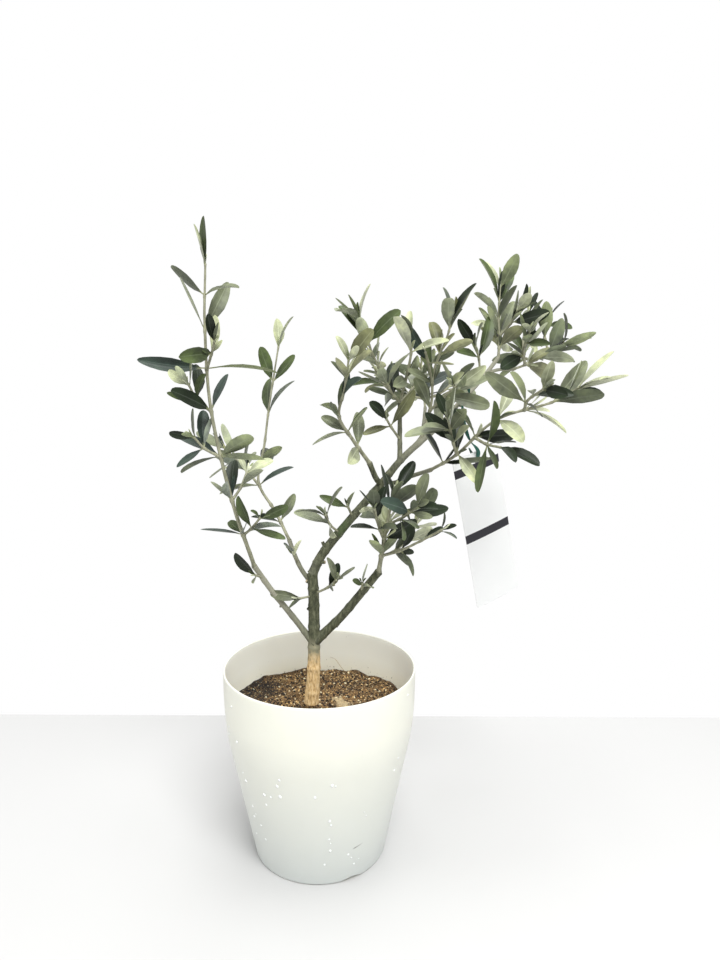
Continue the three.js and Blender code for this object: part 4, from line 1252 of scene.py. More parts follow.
pot = {
    "height": 153.5, "rimRadius": 75, "footRadius": 52, "shoulderHeight": 100, "shoulderRadius": 72.2,
    "wall": 1.6, "floor": 4.4, "footRounding": 2.2, "lip": 0.8, "segments": 240, "bend": 3,
    "arch": {"width": 19, "height": 2.8, "depth": 13, "turns": (-60, 120)},
    "archRings": 14, "archReach": 3, "footSteps": 6, "lipSteps": 8, "outerRings": 40, "innerRings": 30,
    "corner": 2, "cornerCut": 0.6, "sharp": 50,
    # the second colour is painted shade and reflection, darker and cooler low on the outer wall
    # the third colour is painted light: the inner wall is painted paler than the plastic, for light that
    # comes through the wall
    "plastic": (0.85, 0.855, 0.755), "paintedLowShade": (0.60, 0.635, 0.62), "inside": (0.97, 0.975, 0.87),
    "stain": (0.72, 0.58, 0.36), "earth": (0.16, 0.11, 0.06),
    "scuff": {
        "from": 27, "to": 37, "height": 30, "rise": 2.8, "edge": (0.2, 0.8), "colour": (0.10, 0.09, 0.08),
        "start": (0.02, 0.2), "end": (0.25, 0.95), "share": 0.8,
    },
    # the plain roughness, and the least and most of it that the cloud gives
    "roughness": 0.34, "sheen": (0.3, 0.42), "cloud": (22, 4), "duller": 0.975, "lipBand": 1.2,
    # heights between which the painted shade and reflection low on the outer wall fades out, and those
    # between which the earth inside does
    "lowShadeHeights": (-10, 120), "nearSoil": (118, 133), "nearMore": 0.09, "stainShare": 0.22,
    "splash": (420, 5, (1, 1, 0.8), 0.7), "splashFrom": 0.72, "splashShare": 0.8,
    # light that passes through the plastic, and its faint unevenness
    "glow": 0.35, "glowRadius": (1.0, 0.97, 0.88), "glowDepth": 3,
    "relief": (60, 2), "reliefHeight": 0.3, "reliefStrength": 0.15,
}
# Water drops on the wall: angle from the front, height and radius
drops = [
    (-66, 111, 1.1), (-64, 118, 0.7), (-57, 138, 0.9), (-53, 112, 1.1), (-51, 80, 1.3), (-53, 86, 0.7),
    (-21, 95, 1.1), (-23, 89, 1.2), (-34, 77, 1.3), (-29, 77, 0.9), (-22, 80, 1.4), (-34, 68, 1.0),
    (0, 83, 1.2), (10, 93, 1.3), (12, 92, 0.8), (-50, 58, 1.0), (-51, 48, 1.0), (-44, 44, 0.9),
    (-55, 30, 0.8), (-42, 32, 0.9), (-48, 52, 0.6), (9, 61, 1.2), (10, 57, 1.0), (9, 44, 0.9),
    (10, 40, 0.7), (10, 33, 1.1),
    (6, 20, 1.0), (24, 26, 1.0), (27, 22, 0.7), (33, 62, 0.6), (35, 58, 0.6), (64, 144, 0.9), (58, 96, 0.8),
    (56, 87, 1.0), (30, 15, 0.9), (34, 18, 0.7),
]
# painted highlight: the clear water is painted near white and opaque, so each bead reads as a bright glint
# on the wall
water = {
    "droop": 0.18, "flatness": 0.55, "narrow": 0.9, "tall": 1.1, "segments": 16, "rings": 9,
    "colour": (0.93, 0.95, 0.94), "dim": (0.84, 0.87, 0.86), "clear": (0.97, 0.98, 0.97), "cloud": (300, 2),
    "roughness": 0.08, "coat": 1.0, "coatRoughness": 0.03,
}


def wallRadius(height):
    if height <= pot["shoulderHeight"]:
        return mix(pot["footRadius"], pot["shoulderRadius"], height / pot["shoulderHeight"])
    share = (height - pot["shoulderHeight"]) / (pot["height"] - pot["shoulderHeight"])
    return mix(pot["shoulderRadius"], pot["rimRadius"], 1 - (1 - share) ** pot["bend"])


# Radius and height from the middle of the underside, up the outside, over the lip and down inside
def potProfile():
    arch, rounding, lip, top = pot["arch"], pot["footRounding"], pot["lip"], pot["height"]
    edge = pot["footRadius"] - arch["depth"]
    # Close rings at the arches' inner edge keep it crisp
    profile = [(edge * 0.5, 0), (edge, 0), (edge + 0.05, 0), (edge + 5, 0)]
    for step in range(pot["footSteps"] + 1):
        angle = math.radians(-90 + 90 * step / pot["footSteps"])
        centre = wallRadius(rounding) - rounding
        profile.append((centre + rounding * math.cos(angle), rounding + rounding * math.sin(angle)))
    heights = np.linspace(rounding + 2, top - lip, pot["outerRings"])
    profile += [(wallRadius(h), h) for h in heights]
    for step in range(1, pot["lipSteps"]):
        angle = math.radians(180 * step / pot["lipSteps"])
        profile.append((wallRadius(top) - lip + lip * math.cos(angle), top - lip + lip * math.sin(angle)))
    corner, cut, base = pot["corner"], pot["cornerCut"], pot["floor"]
    heights = np.linspace(top - lip, base + corner, pot["innerRings"])
    profile += [(wallRadius(h) - pot["wall"], h) for h in heights]
    inner = wallRadius(base) - pot["wall"]
    profile += [(inner - cut, base + cut), (inner - corner, base), (inner * 0.5, base)]
    return profile


# How high a point of the foot stands where a drain arch cuts it
def archLift(x, y, height):
    arch = pot["arch"]
    radius = (arch["width"] ** 2 / 4 + arch["height"] ** 2) / (2 * arch["height"])
    for turn in arch["turns"]:
        aim = math.radians(turn)
        outward = x * math.cos(aim) + y * math.sin(aim)
        sideways = -x * math.sin(aim) + y * math.cos(aim)
        if outward > pot["footRadius"] - arch["depth"] + 0.01 and abs(sideways) < arch["width"] / 2:
            return max(height, math.sqrt(radius ** 2 - sideways ** 2) - radius + arch["height"])
    return height


def makePot():
    profile = potProfile()
    segments = pot["segments"]
    vertices, faces = [(0, 0, 0)], []
    for ring, (radius, height) in enumerate(profile):
        low = ring < pot["archRings"] and height < pot["footRounding"] + pot["archReach"]
        for segment in range(segments):
            angle = 2 * math.pi * segment / segments
            x, y = radius * math.cos(angle), radius * math.sin(angle)
            vertices.append((x, y, archLift(x, y, height) if low else height))
    vertices.append((0, 0, pot["floor"]))
    for ring in range(len(profile) - 1):
        for segment in range(segments):
            a = 1 + ring * segments + segment
            b = 1 + ring * segments + (segment + 1) % segments
            faces.append((a, b, b + segments, a + segments))
    last = 1 + (len(profile) - 1) * segments
    for segment in range(segments):
        following = (segment + 1) % segments
        faces.append((0, 1 + following, 1 + segment))
        faces.append((len(vertices) - 1, last + segment, last + following))
    return meshObject("potShell", np.array(vertices) * mm, faces, [potMaterial()], sharp=pot["sharp"])


# 1 on the wall's inner skin: its outer skin lies beyond this cone and bend
def withinWall(tree, z):
    radius = fromMiddle(tree)
    shoulder = pot["shoulderHeight"] * mm
    cone = mapRange(tree, z, 0, shoulder, pot["footRadius"] * mm, pot["shoulderRadius"] * mm)
    upright = calc(tree, "POWER", mapRange(tree, z, shoulder, pot["height"] * mm, 1.0, 0.0), pot["bend"])
    flare = (pot["rimRadius"] - pot["shoulderRadius"]) * mm
    skin = plus(tree, cone, times(tree, minus(tree, 1.0, upright), flare))
    return calc(tree, "LESS_THAN", radius, minus(tree, skin, pot["wall"] * 0.5 * mm))


# Splashed earth inside, thick near the soil's edge and thinning upwards
def splashedInside(tree, z):
    low, high = pot["nearSoil"]
    splash = noiseValue(tree, *pot["splash"])
    nearSoil = mapRange(tree, z, low * mm, high * mm, 1.0, 0.0)
    spread = plus(tree, splash, times(tree, nearSoil, pot["nearMore"]))
    speck = calc(tree, "GREATER_THAN", spread, pot["splashFrom"])
    stained = blend(tree, times(tree, nearSoil, pot["stainShare"]), pot["inside"], pot["stain"])
    return blend(tree, times(tree, speck, pot["splashShare"]), stained, pot["earth"])


# One dark scuff low on the front: a thin slanting line that is strong at its start
def scuffShare(tree, x, y, z):
    scuff = pot["scuff"]
    angle = calc(tree, "ARCTAN2", x, times(tree, y, -1.0))
    along = mapRange(tree, angle, math.radians(scuff["from"]), math.radians(scuff["to"]))
    line = plus(tree, times(tree, along, scuff["rise"] * mm), scuff["height"] * mm)
    offLine = calc(tree, "ABSOLUTE", minus(tree, z, line))
    whole, none = scuff["edge"]
    thin = mapRange(tree, offLine, whole * mm, none * mm, 1.0, 0.0)
    start, end = mapRange(tree, along, *scuff["start"]), mapRange(tree, along, *scuff["end"], 1.0, 0.0)
    return times(tree, times(tree, thin, times(tree, start, end)), scuff["share"])


def potMaterial():
    material, tree, shader = newMaterial("potPlastic", pot["plastic"], pot["roughness"])
    x, y, z = (axis(tree, name) for name in "XYZ")
    within = withinWall(tree, z)
    lipBand = calc(tree, "GREATER_THAN", z, (pot["height"] - pot["lip"] * pot["lipBand"]) * mm)
    # painted light: the inner wall takes the inside colour, painted paler than the outer plastic
    inside = times(tree, within, minus(tree, 1.0, lipBand))
    cloud = noiseValue(tree, *pot["cloud"])
    duller = shaded(pot["plastic"], pot["duller"])
    warm = blend(tree, mapRange(tree, cloud, 0.35, 0.65), duller, pot["plastic"])
    # painted shade: the outer wall is painted darker and cooler towards the bottom
    low, high = pot["lowShadeHeights"]
    outside = blend(tree, mapRange(tree, z, low * mm, high * mm), pot["paintedLowShade"], warm)
    colour = blend(tree, inside, outside, splashedInside(tree, z))
    front = times(tree, scuffShare(tree, x, y, z), minus(tree, 1.0, within))
    tree.links.new(blend(tree, front, colour, pot["scuff"]["colour"]), shader.inputs["Base Color"])
    tree.links.new(mapRange(tree, cloud, 0.3, 0.7, *pot["sheen"]), shader.inputs["Roughness"])
    shader.inputs["Subsurface Weight"].default_value = pot["glow"]
    shader.inputs["Subsurface Radius"].default_value = pot["glowRadius"]
    shader.inputs["Subsurface Scale"].default_value = pot["glowDepth"] * mm
    bump(tree, shader, noiseValue(tree, *pot["relief"]), pot["reliefHeight"] * mm, pot["reliefStrength"])
    return material


# Geometry Nodes: copies of a small shape on points or scattered on a surface

# A tree with its inputs' keys, the sockets that it is given and the one that its result goes to
def geometryTree(name, kinds):
    group = bpy.data.node_groups.new(name, "GeometryNodeTree")
    group.interface.new_socket(name="Geometry", in_out="OUTPUT", socket_type="NodeSocketGeometry")
    keys = {}
    for label, kind in {"Geometry": "Geometry", **kinds}.items():
        socket = group.interface.new_socket(name=label, in_out="INPUT", socket_type=f"NodeSocket{kind}")
        keys[label] = socket.identifier
    given = group.nodes.new("NodeGroupInput").outputs
    return group, keys, given, group.nodes.new("NodeGroupOutput").inputs[0]


# Copies on the points become one mesh of the given material
def placeCopies(group, given, result, values):
    copies = addNode(group, "GeometryNodeInstanceOnPoints", values)
    real = addNode(group, "GeometryNodeRealizeInstances", {"Geometry": copies.outputs["Instances"]})
    values = {"Geometry": real.outputs["Geometry"], "Material": given["Material"]}
    group.links.new(addNode(group, "GeometryNodeSetMaterial", values).outputs["Geometry"], result)


# Runs the tree on the carrier and returns the result as a plain mesh object
def applyTree(carrier, group, values, name):
    modifier = carrier.modifiers.new(group.name, "NODES")
    modifier.node_group = group
    for identifier, value in values.items():
        modifier[identifier] = value
    evaluated = carrier.evaluated_get(bpy.context.evaluated_depsgraph_get())
    mesh = bpy.data.meshes.new_from_object(evaluated)
    carrier.modifiers.remove(modifier)
    mesh.name = name
    made = bpy.data.objects.new(name, mesh)
    scene.collection.objects.link(made)
    return made


# Grains scattered on a surface, turned and sized at random
def scatterTree():
    kinds = {"Density": "Float", "Spacing": "Float", "Smallest": "Float", "Largest": "Float", "Seed": "Int",
             "Grain": "Object", "Material": "Material"}
    group, keys, given, result = geometryTree("scatterGrains", kinds)
    values = {"Mesh": given["Geometry"], "Density Max": given["Density"], "Distance Min": given["Spacing"],
              "Seed": given["Seed"]}
    points = addNode(group, "GeometryNodeDistributePointsOnFaces", values, distribute_method="POISSON")
    grain = addNode(group, "GeometryNodeObjectInfo", {"Object": given["Grain"]})
    values = {"Max": (2 * math.pi,) * 3, "Seed": given["Seed"]}
    turn = addNode(group, "FunctionNodeRandomValue", values, data_type="FLOAT_VECTOR")
    # The third and fourth sockets are the least and the most of a plain number
    values = {2: given["Smallest"], 3: given["Largest"], "Seed": given["Seed"]}
    size = addNode(group, "FunctionNodeRandomValue", values)
    placeCopies(group, given, result, {
        "Points": points.outputs["Points"], "Instance": grain.outputs["Geometry"],
        "Rotation": turn.outputs["Value"], "Scale": size.outputs[1],
    })
    return group, keys


# A flat bead of water on each point, as large as the point says and facing away from the wall
def dropTree():
    group, keys, given, result = geometryTree("waterDrops", {"Flatness": "Float", "Material": "Material"})
    points = addNode(group, "GeometryNodeMeshToPoints", {"Mesh": given["Geometry"]})
    ball = addNode(group, "GeometryNodeMeshUVSphere",
                   {"Segments": water["segments"], "Rings": water["rings"], "Radius": 1.0})
    squeeze = addNode(group, "ShaderNodeCombineXYZ",
                      {"X": water["narrow"], "Y": water["tall"], "Z": given["Flatness"]})
    bead = addNode(group, "GeometryNodeTransform",
                   {"Geometry": ball.outputs["Mesh"], "Scale": squeeze.outputs[0]})
    named = "GeometryNodeInputNamedAttribute"
    normal = addNode(group, named, {"Name": "wallNormal"}, data_type="FLOAT_VECTOR")
    size = addNode(group, named, {"Name": "dropRadius"}, data_type="FLOAT")
    facing = addNode(group, "FunctionNodeAlignRotationToVector", {"Vector": normal.outputs["Attribute"]})
    placeCopies(group, given, result, {
        "Points": points.outputs["Points"], "Instance": bead.outputs["Geometry"],
        "Rotation": facing.outputs["Rotation"], "Scale": size.outputs["Attribute"],
    })
    return group, keys


def makeDrops():
    places, normals = [], []
    for degrees, height, radius in drops:
        angle = math.radians(degrees)
        outward = Vector((math.sin(angle), -math.cos(angle), 0))
        places.append(outward * wallRadius(height) + Vector((0, 0, height)))
        normals.append((outward - Vector((0, 0, water["droop"]))).normalized())
    mesh = bpy.data.meshes.new("dropPoints")
    mesh.from_pydata([tuple(p * mm) for p in places], [], [])
    away = mesh.attributes.new("wallNormal", "FLOAT_VECTOR", "POINT")
    away.data.foreach_set("vector", np.array(normals).ravel())
    sizes = np.array([radius * mm for _, _, radius in drops])
    mesh.attributes.new("dropRadius", "FLOAT", "POINT").data.foreach_set("value", sizes)
    carrier = bpy.data.objects.new("dropPoints", mesh)
    scene.collection.objects.link(carrier)
    # painted highlight: the water's near-white colour stands in for its glints
    wet, tree, shader = newMaterial("water", water["colour"], water["roughness"])
    mottle(tree, shader, noiseValue(tree, *water["cloud"]), (0.3, water["dim"]), (0.7, water["clear"]))
    shader.inputs["Coat Weight"].default_value = water["coat"]
    shader.inputs["Coat Roughness"].default_value = water["coatRoughness"]
    group, keys = dropTree()
    values = {keys["Flatness"]: water["flatness"], keys["Material"]: wet}
    made = applyTree(carrier, group, values, "waterDrops")
    bpy.data.objects.remove(carrier)
    made.data.polygons.foreach_set("use_smooth", np.full(len(made.data.polygons), True))
    return made


# Soil

soil = {
    "height": 118.5, "lump": 1.5, "levelRadius": 11, "fadeWidth": 16, "depth": 8,
    # radians a millimetre and start of the waves along x and y, then those of a slanting one and its share
    "waves": ((0.11, 1.2), (0.13, -0.4)), "slant": (0.27, 0.19, 0.5), "lowered": 0.4,
    "rings": 60, "segments": 150, "crumb": 0.9, "wallGap": 0.25,
    "crumbScale": 0.35, "crumbSlice": 3.1, "crumbNoise": (0.9, 2.1, 4),
    "brown": (0.15, 0.085, 0.036), "pale": (0.40, 0.27, 0.13), "wet": (0.014, 0.011, 0.009),
    "roughness": 0.92, "speck": (700, 6, (1, 1, 1), 0.7), "speckDark": 0.25, "speckStops": (0.38, 0.5, 0.66),
    "relief": 1.2, "reliefStrength": 0.8,
    "grains": [
        # name, spacing, density, smallest, largest, seed, colour, roughness, subdivisions of its ball
        ("crumbs", 1.15, 420000, 0.6, 1.9, 3, (0.215, 0.128, 0.052), 0.9, 1),
        ("darkCrumbs", 1.7, 180000, 0.7, 1.9, 5, (0.022, 0.015, 0.010), 0.85, 1),
        ("grit", 2.1, 120000, 0.5, 1.6, 8, (0.58, 0.395, 0.170), 0.8, 1),
        ("paleGrit", 3.5, 60000, 0.4, 1.5, 13, (0.80, 0.66, 0.42), 0.75, 1),
    ],
    "grainRadius": 0.7, "grainStretch": (0.6, 1.25), "grainBumps": (0.78, 1.2), "grainGap": 1.6,
    "steepest": 0.2, "clump": ((85, 4), (600, 2), 0.65), "grainShades": (0.3, 1.7),
    "grainStops": (0.36, 0.5, 0.64), "grainWet": 0.66,
    # the black wet patch and the pale sandy one
    "wetSpot": {"place": (-61, 29, 118), "reach": 31, "solid": 0.6, "edge": (90, 4, 0.03), "share": 1.0},
    "sandSpot": {"place": (17, 5, 118), "reach": 9, "solid": 0.6, "edge": (90, 4, 0.03), "share": 1.0},
    "sand": (0.62, 0.50, 0.30), "sandMost": 0.7,
    # the dark band along the wall: where it starts and is whole, from the wall, and its share there
    "band": (7, 2, 0.75), "bandDark": 0.5,
}
# Dead rootlets that lie on the soil, and one that rises at the back
fibres = {
    "count": 150, "seed": 21, "length": (4, 13), "radius": (0.14, 0.3), "lift": 0.9, "rise": 1.1,
    "legs": 3, "bend": 0.7, "tip": 0.5, "sides": 5, "steps": 9, "wallGap": 6,
    "thread": [(20, 60, 119), (15, 64.5, 123), (10, 67, 129), (5, 68, 131)], "threadRadius": 0.22,
    "tan": (0.50, 0.36, 0.17), "brown": (0.14, 0.085, 0.04), "roughness": 0.8, "cloud": (110, 3), "wet": 0.8,
}


def soilHeight(x, y):
    fromTrunk = math.hypot(x - limbs["trunk"]["path"][0][0], y - limbs["trunk"]["path"][0][1])
    fade = float(smoothStep(soil["levelRadius"], soil["levelRadius"] + soil["fadeWidth"], fromTrunk))
    (alongX, startX), (alongY, startY) = soil["waves"]
    slantX, slantY, slantShare = soil["slant"]
    lumps = math.sin(x * alongX + startX) * math.cos(y * alongY + startY)
    lumps += slantShare * math.sin(x * slantX - y * slantY)
    return soil["height"] + fade * soil["lump"] * (lumps - soil["lowered"])


def makeSoil():
    segments, rings = soil["segments"], soil["rings"]
    edge = wallRadius(soil["height"]) - pot["wall"] - soil["wallGap"]
    vertices, faces = [], []
    for ring in range(1, rings + 1):
        radius = edge * ring / rings
        for segment in range(segments):
            angle = 2 * math.pi * segment / segments
            x, y = radius * math.cos(angle), radius * math.sin(angle)
            place = Vector((x * soil["crumbScale"], y * soil["crumbScale"], soil["crumbSlice"]))
            fineness = noise.fractal(place, *soil["crumbNoise"])
            vertices.append((x, y, soilHeight(x, y) + soil["crumb"] * fineness))
    base = soil["height"] - soil["depth"]
    lowEdge = wallRadius(base) - pot["wall"] - soil["wallGap"]
    for segment in range(segments):
        angle = 2 * math.pi * segment / segments
        vertices.append((lowEdge * math.cos(angle), lowEdge * math.sin(angle), base))
    vertices.append((0, 0, soilHeight(0, 0)))
    vertices.append((0, 0, base))
    top = len(vertices) - 2
    for ring in range(rings):
        for segment in range(segments):
            a, b = ring * segments + segment, ring * segments + (segment + 1) % segments
            faces.append((a + segments, b + segments, b, a))
    for segment in range(segments):
        following = (segment + 1) % segments
        faces.append((top, segment, following))
        faces.append((top + 1, rings * segments + following, rings * segments + segment))
    return meshObject("soilBed", np.array(vertices) * mm, faces, [soilMaterial()])


# The dry colour, sandy in one patch and black in another, with a dark band along the wall
def soilTones(tree, dry, depth):
    edge = wallRadius(soil["height"]) * mm
    outer, inner, most = soil["band"]
    band = mapRange(tree, fromMiddle(tree), edge - outer * mm, edge - inner * mm, 0.0, most)
    sandShare = times(tree, patchShare(tree, soil["sandSpot"]), soil["sandMost"])
    sandy = blend(tree, sandShare, dry, soil["sand"])
    banded = blend(tree, band, sandy, shaded(soil["brown"], soil["bandDark"]))
    return blend(tree, times(tree, patchShare(tree, soil["wetSpot"]), depth), banded, soil["wet"])


def soilMaterial():
    material, tree, shader = newMaterial("dampSoil", soil["brown"], soil["roughness"])
    speck = noiseValue(tree, *soil["speck"])
    tones = (shaded(soil["brown"], soil["speckDark"]), soil["brown"], soil["pale"])
    dry = ramp(tree, speck, list(zip(soil["speckStops"], tones)))
    tree.links.new(soilTones(tree, dry, 1.0), shader.inputs["Base Color"])
    bump(tree, shader, speck, soil["relief"] * mm, soil["reliefStrength"])
    return material


def grainMaterial(name, colour, roughness):
    material, tree, shader = newMaterial(name, colour, roughness)
    clump = mixedNoise(tree, *soil["clump"])
    dark, light = (shaded(colour, share) for share in soil["grainShades"])
    dry = ramp(tree, clump, list(zip(soil["grainStops"], (dark, colour, light))))
    tree.links.new(soilTones(tree, dry, soil["grainWet"]), shader.inputs["Base Color"])
    return material


# A rootlet's path over the soil, without the points that would lie past the pot's wall
def rootletPath(draw, reach):
    away, angle = reach * math.sqrt(draw.random()), 2 * math.pi * draw.random()
    heading, bend = 2 * math.pi * draw.random(), draw.normal(0, fibres["bend"])
    length, points = draw.uniform(*fibres["length"]), []
    x, y = away * math.cos(angle), away * math.sin(angle)
    legs = fibres["legs"]
    for step in range(legs + 1):
        if math.hypot(x, y) < reach:
            up = fibres["lift"] + fibres["rise"] * draw.random() * math.sin(math.pi * step / legs)
            points.append((x, y, soilHeight(x, y) + up))
        x += length / legs * math.cos(heading)
        y += length / legs * math.sin(heading)
        heading += bend
    return points


def makeFibres():
    draw = np.random.default_rng(fibres["seed"])
    reach = wallRadius(soil["height"]) - fibres["wallGap"]
    lines = [(fibres["thread"], fibres["threadRadius"])]
    for _ in range(fibres["count"]):
        points = rootletPath(draw, reach)
        if len(points) > 2:
            lines.append((points, draw.uniform(*fibres["radius"])))
    heap = Heap()
    for points, radius in lines:
        line = curveOf([Vector(point) for point in points])
        heap.add(*bar(line, lambda share, radius=radius: radius * mix(1, fibres["tip"], share),
                      fibres["sides"], fibres["steps"]))
    material, tree, shader = newMaterial("rootlets", fibres["tan"], fibres["roughness"])
    cloud = noiseValue(tree, *fibres["cloud"])
    colour = ramp(tree, cloud, [(0.42, fibres["brown"]), (0.6, fibres["tan"])])
    tree.links.new(soilTones(tree, colour, fibres["wet"]), shader.inputs["Base Color"])
    return heap.make("fibres", [material])


# A lopsided grain about a millimetre across
def grainShape(seed, subdivisions):
    mesh = bpy.data.meshes.new("grain")
    form = bmesh.new()
    bmesh.ops.create_icosphere(form, subdivisions=subdivisions, radius=soil["grainRadius"] * mm)
    draw = np.random.default_rng(seed)
    stretch = draw.uniform(*soil["grainStretch"], 3)
    for vertex in form.verts:
        vertex.co = Vector([c * s for c, s in zip(vertex.co, stretch)]) * draw.uniform(*soil["grainBumps"])
    form.to_mesh(mesh)
    form.free()
    grain = bpy.data.objects.new("grain", mesh)
    scene.collection.objects.link(grain)
    return grain


def makeGrains(bed):
    group, keys = scatterTree()
    # Only the bed's upper side carries grains
    carrier = bed.copy()
    carrier.data = bed.data.copy()
    scene.collection.objects.link(carrier)
    form = bmesh.new()
    form.from_mesh(carrier.data)
    edge = (wallRadius(soil["height"]) - pot["wall"] - soil["grainGap"]) * mm
    steep = soil["steepest"]
    unwanted = [f for f in form.faces if f.normal.z < steep or f.calc_center_median().to_2d().length > edge]
    bmesh.ops.delete(form, geom=unwanted, context="FACES")
    form.to_mesh(carrier.data)
    form.free()
    made = []
    for name, spacing, density, smallest, largest, seed, colour, roughness, subdivisions in soil["grains"]:
        grain = grainShape(seed, subdivisions)
        values = {
            keys["Density"]: float(density), keys["Spacing"]: spacing * mm, keys["Smallest"]: smallest,
            keys["Largest"]: largest, keys["Seed"]: seed, keys["Grain"]: grain,
            keys["Material"]: grainMaterial(name, colour, roughness),
        }
        piece = applyTree(carrier, group, values, name)
        bpy.data.objects.remove(grain)
        print(name, len(piece.data.polygons))
        made.append(piece)
    bpy.data.objects.remove(carrier)
    return made


# Tag and tie

# The card's grid of squares, which holds the edges of its two dark bars
def tagGrid(form, half, bottom, top):
    levels = sorted({*np.linspace(bottom, top, tag["rows"]), *[v for pair in tag["bars"] for v in pair]})
    columns = np.linspace(-half, half, tag["columns"])
    grid = {}
    for i, up in enumerate(levels):
        for j, across in enumerate(columns):
            grid[i, j] = form.verts.new((across, 0, up))
    for i in range(len(levels) - 1):
        middle = (levels[i] + levels[i + 1]) / 2
        for j in range(len(columns) - 1):
            face = form.faces.new((grid[i, j], grid[i, j + 1], grid[i + 1, j + 1], grid[i + 1, j]))
            face.material_index = int(any(low < middle < high for low, high in tag["bars"]))


# Faces near the hole go, and a ring round it closes the gap
def cutHole(form):
    reach = tag["holeRadius"] * tag["holeCleared"]
    near = [f for f in form.faces if f.calc_center_median().length < reach]
    bmesh.ops.delete(form, geom=near, context="FACES")
    edge = reach * tag["holeEdge"]
    rim = [e for e in form.edges if e.is_boundary and max(v.co.length for v in e.verts) < edge]
    inner = bmesh.ops.extrude_edge_only(form, edges=rim)["geom"]
    for vertex in [v for v in inner if isinstance(v, bmesh.types.BMVert)]:
        flat = Vector((vertex.co.x, 0, vertex.co.z))
        vertex.co = flat.normalized() * tag["holeRadius"]


def roundCorners(form, half, bottom, top):
    corner = tag["corner"]
    for vertex in form.verts:
        dx = abs(vertex.co.x) - (half - corner)
        dz = max(vertex.co.z - (top - corner), (bottom + corner) - vertex.co.z)
        if dx > 0 and dz > 0:
            shrink = min(1, corner / math.hypot(dx, dz))
            sign = 1 if vertex.co.z > (top + bottom) / 2 else -1
            edge = top - corner if sign > 0 else bottom + corner
            vertex.co.x = math.copysign(half - corner + dx * shrink, vertex.co.x)
            vertex.co.z = edge + sign * dz * shrink


# A cup across the card, and a twist that changes along it
def curlCard(form, half, bottom):
    cup, flat, twist, waves = tag["cup"], tag["cupFlat"], tag["twist"], tag["twistWaves"]
    for vertex in form.verts:
        across, up = vertex.co.x / half, (vertex.co.z - bottom) / tag["height"]
        vertex.co.y = tag["curl"] * (cup * (across ** 2 - flat) + twist * math.sin(up * waves) * across)


def cardMaterial():
    card, tree, shader = newMaterial("cardWhite", tag["cardColour"], tag["cardRoughness"])
    duller = shaded(tag["cardColour"], tag["cardDuller"])
    mottle(tree, shader, noiseValue(tree, *tag["cardCloud"]), (0.3, duller), (0.7, tag["cardColour"]))
    return card


def inkMaterial():
    ink, tree, shader = newMaterial("barInk", tag["barColour"], tag["barRoughness"])
    gloss = mapRange(tree, noiseValue(tree, *tag["barCloud"]), 0.3, 0.7, *tag["barGloss"])
    tree.links.new(gloss, shader.inputs["Roughness"])
    return ink


# The hole's ring comes in another order each run, so faces and edges are put in order by their places
def orderByPlace(form):
    def placeNumber(element):
        middle = sum((vertex.co for vertex in element.verts), Vector()) / len(element.verts)
        return middle.x + tag["orderStep"] * middle.z
    form.faces.sort(key=placeNumber)
    form.edges.sort(key=placeNumber)


# A thin card, slightly curled, with two dark bars and a hole
def makeTag():
    half, top = tag["width"] / 2, tag["holeInset"]
    bottom = top - tag["height"]
    form = bmesh.new()
    tagGrid(form, half, bottom, top)
    cutHole(form)
    bmesh.ops.recalc_face_normals(form, faces=form.faces)
    roundCorners(form, half, bottom, top)
    curlCard(form, half, bottom)
    orderByPlace(form)
    mesh = bpy.data.meshes.new("tagCard")
    form.to_mesh(mesh)
    form.free()
    mesh.materials.append(cardMaterial())
    mesh.materials.append(inkMaterial())
    made = bpy.data.objects.new("tagCard", mesh)
    scene.collection.objects.link(made)
    thicken = made.modifiers.new("thickness", "SOLIDIFY")
    thicken.thickness = tag["thickness"]
    thicken.offset = 0
    bakeModifiers(made)
    turn = Matrix.Translation(Vector(tag["hole"]) * mm) @ tagTurn.to_matrix().to_4x4() @ Matrix.Scale(mm, 4)
    made.data.transform(turn)
    return made


def bakeModifiers(made):
    evaluated = made.evaluated_get(bpy.context.evaluated_depsgraph_get())
    mesh = bpy.data.meshes.new_from_object(evaluated)
    made.modifiers.clear()
    made.data = mesh


# Across and up of the ribbon's section, half of it with the wire under its middle and then its mirror
def ribbonSection():
    width, thickness = tie["ribbonWidth"], tie["ribbonThickness"]
    ring = []
    for across, up in tie["section"]:
        wire = tie["wire"] * 0.5 if abs(across) < tie["wireReach"] else 0
        ring.append((across * width / 2, up * thickness / 2 + wire))
    return ring + [(across, -up) for across, up in reversed(ring)]


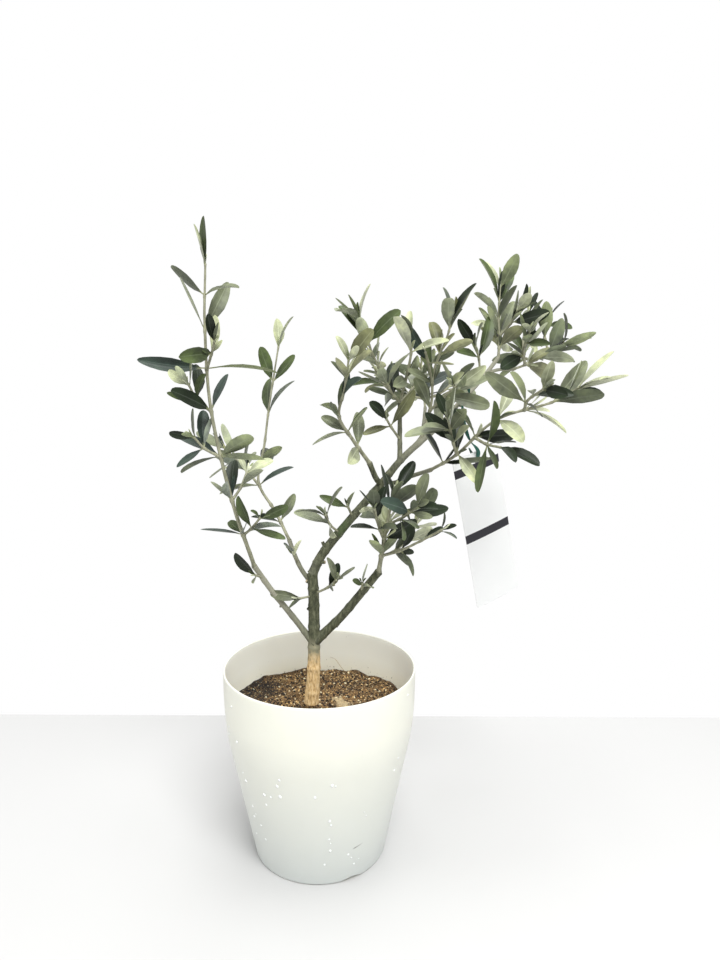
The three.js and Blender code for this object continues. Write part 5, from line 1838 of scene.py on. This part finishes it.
# The section carried along a path; twistAt(share) turns it about the path
def ribbonAlong(path, steps, twistAt):
    points = [path(i / steps) for i in range(steps + 1)]
    sideways = (points[1] - points[0]).orthogonal().normalized()
    vertices, faces = [], []
    ring = ribbonSection()
    for i, point in enumerate(points):
        ahead = (points[min(i + 1, steps)] - points[max(i - 1, 0)]).normalized()
        sideways = (sideways - ahead * sideways.dot(ahead)).normalized()
        normal = ahead.cross(sideways)
        turn = twistAt(i / steps)
        right = sideways * math.cos(turn) + normal * math.sin(turn)
        up = normal * math.cos(turn) - sideways * math.sin(turn)
        vertices += [point + right * u + up * h for u, h in ring]
    count = len(ring)
    for i in range(steps):
        for j in range(count):
            a, b = i * count + j, i * count + (j + 1) % count
            faces.append((a, a + count, b + count, b))
    faces.append(tuple(range(count)))
    faces.append(tuple(reversed(range(steps * count, (steps + 1) * count))))
    return np.array([tuple(v) for v in vertices]), faces


def makeTie():
    swing, waves, turning = tie["twist"]
    heap = Heap()
    heap.add(*ribbonAlong(tieBar["pointAt"], tie["steps"],
                          lambda share: swing * math.sin(share * waves) + share * turning))
    material, tree, shader = newMaterial("tieGreen", tie["colour"], tie["roughness"])
    dark, light = (shaded(tie["colour"], share) for share in tie["shades"])
    mottle(tree, shader, noiseValue(tree, *tie["cloud"]), (0.3, dark), (0.7, light))
    return heap.make("tieRibbon", [material], sharp=tie["sharp"])


# Building everything

makeCamera()
makeStudio()
print("studio ready")
trunkPiece, boughPiece = makeBark()
print("bark ready", len(trunkPiece.data.polygons), len(boughPiece.data.polygons))
twigPiece = makeTwigs()
print("twigs ready", len(twigPiece.data.polygons))
leafPieces = makeLeaves()
potPiece = makePot()
dropPiece = makeDrops()
print("pot ready")
soilPiece = makeSoil()
grainPieces = [*makeGrains(soilPiece), makeFibres()]
print("soil ready")
tagPiece = makeTag()
tiePiece = makeTie()
print("tag and tie ready")

everyPiece = [trunkPiece, boughPiece, twigPiece, *leafPieces, potPiece, dropPiece, soilPiece, *grainPieces,
              tagPiece, tiePiece]
for piece in everyPiece:
    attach(piece, "root")
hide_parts("trunk")
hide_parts(*[name for name in limbs if name != "trunk"])
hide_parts(*masses)
for piece in leafPieces:
    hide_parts(*masses)
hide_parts("pot")
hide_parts("soil")
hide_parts("hang_tag")
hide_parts("tag_tie")
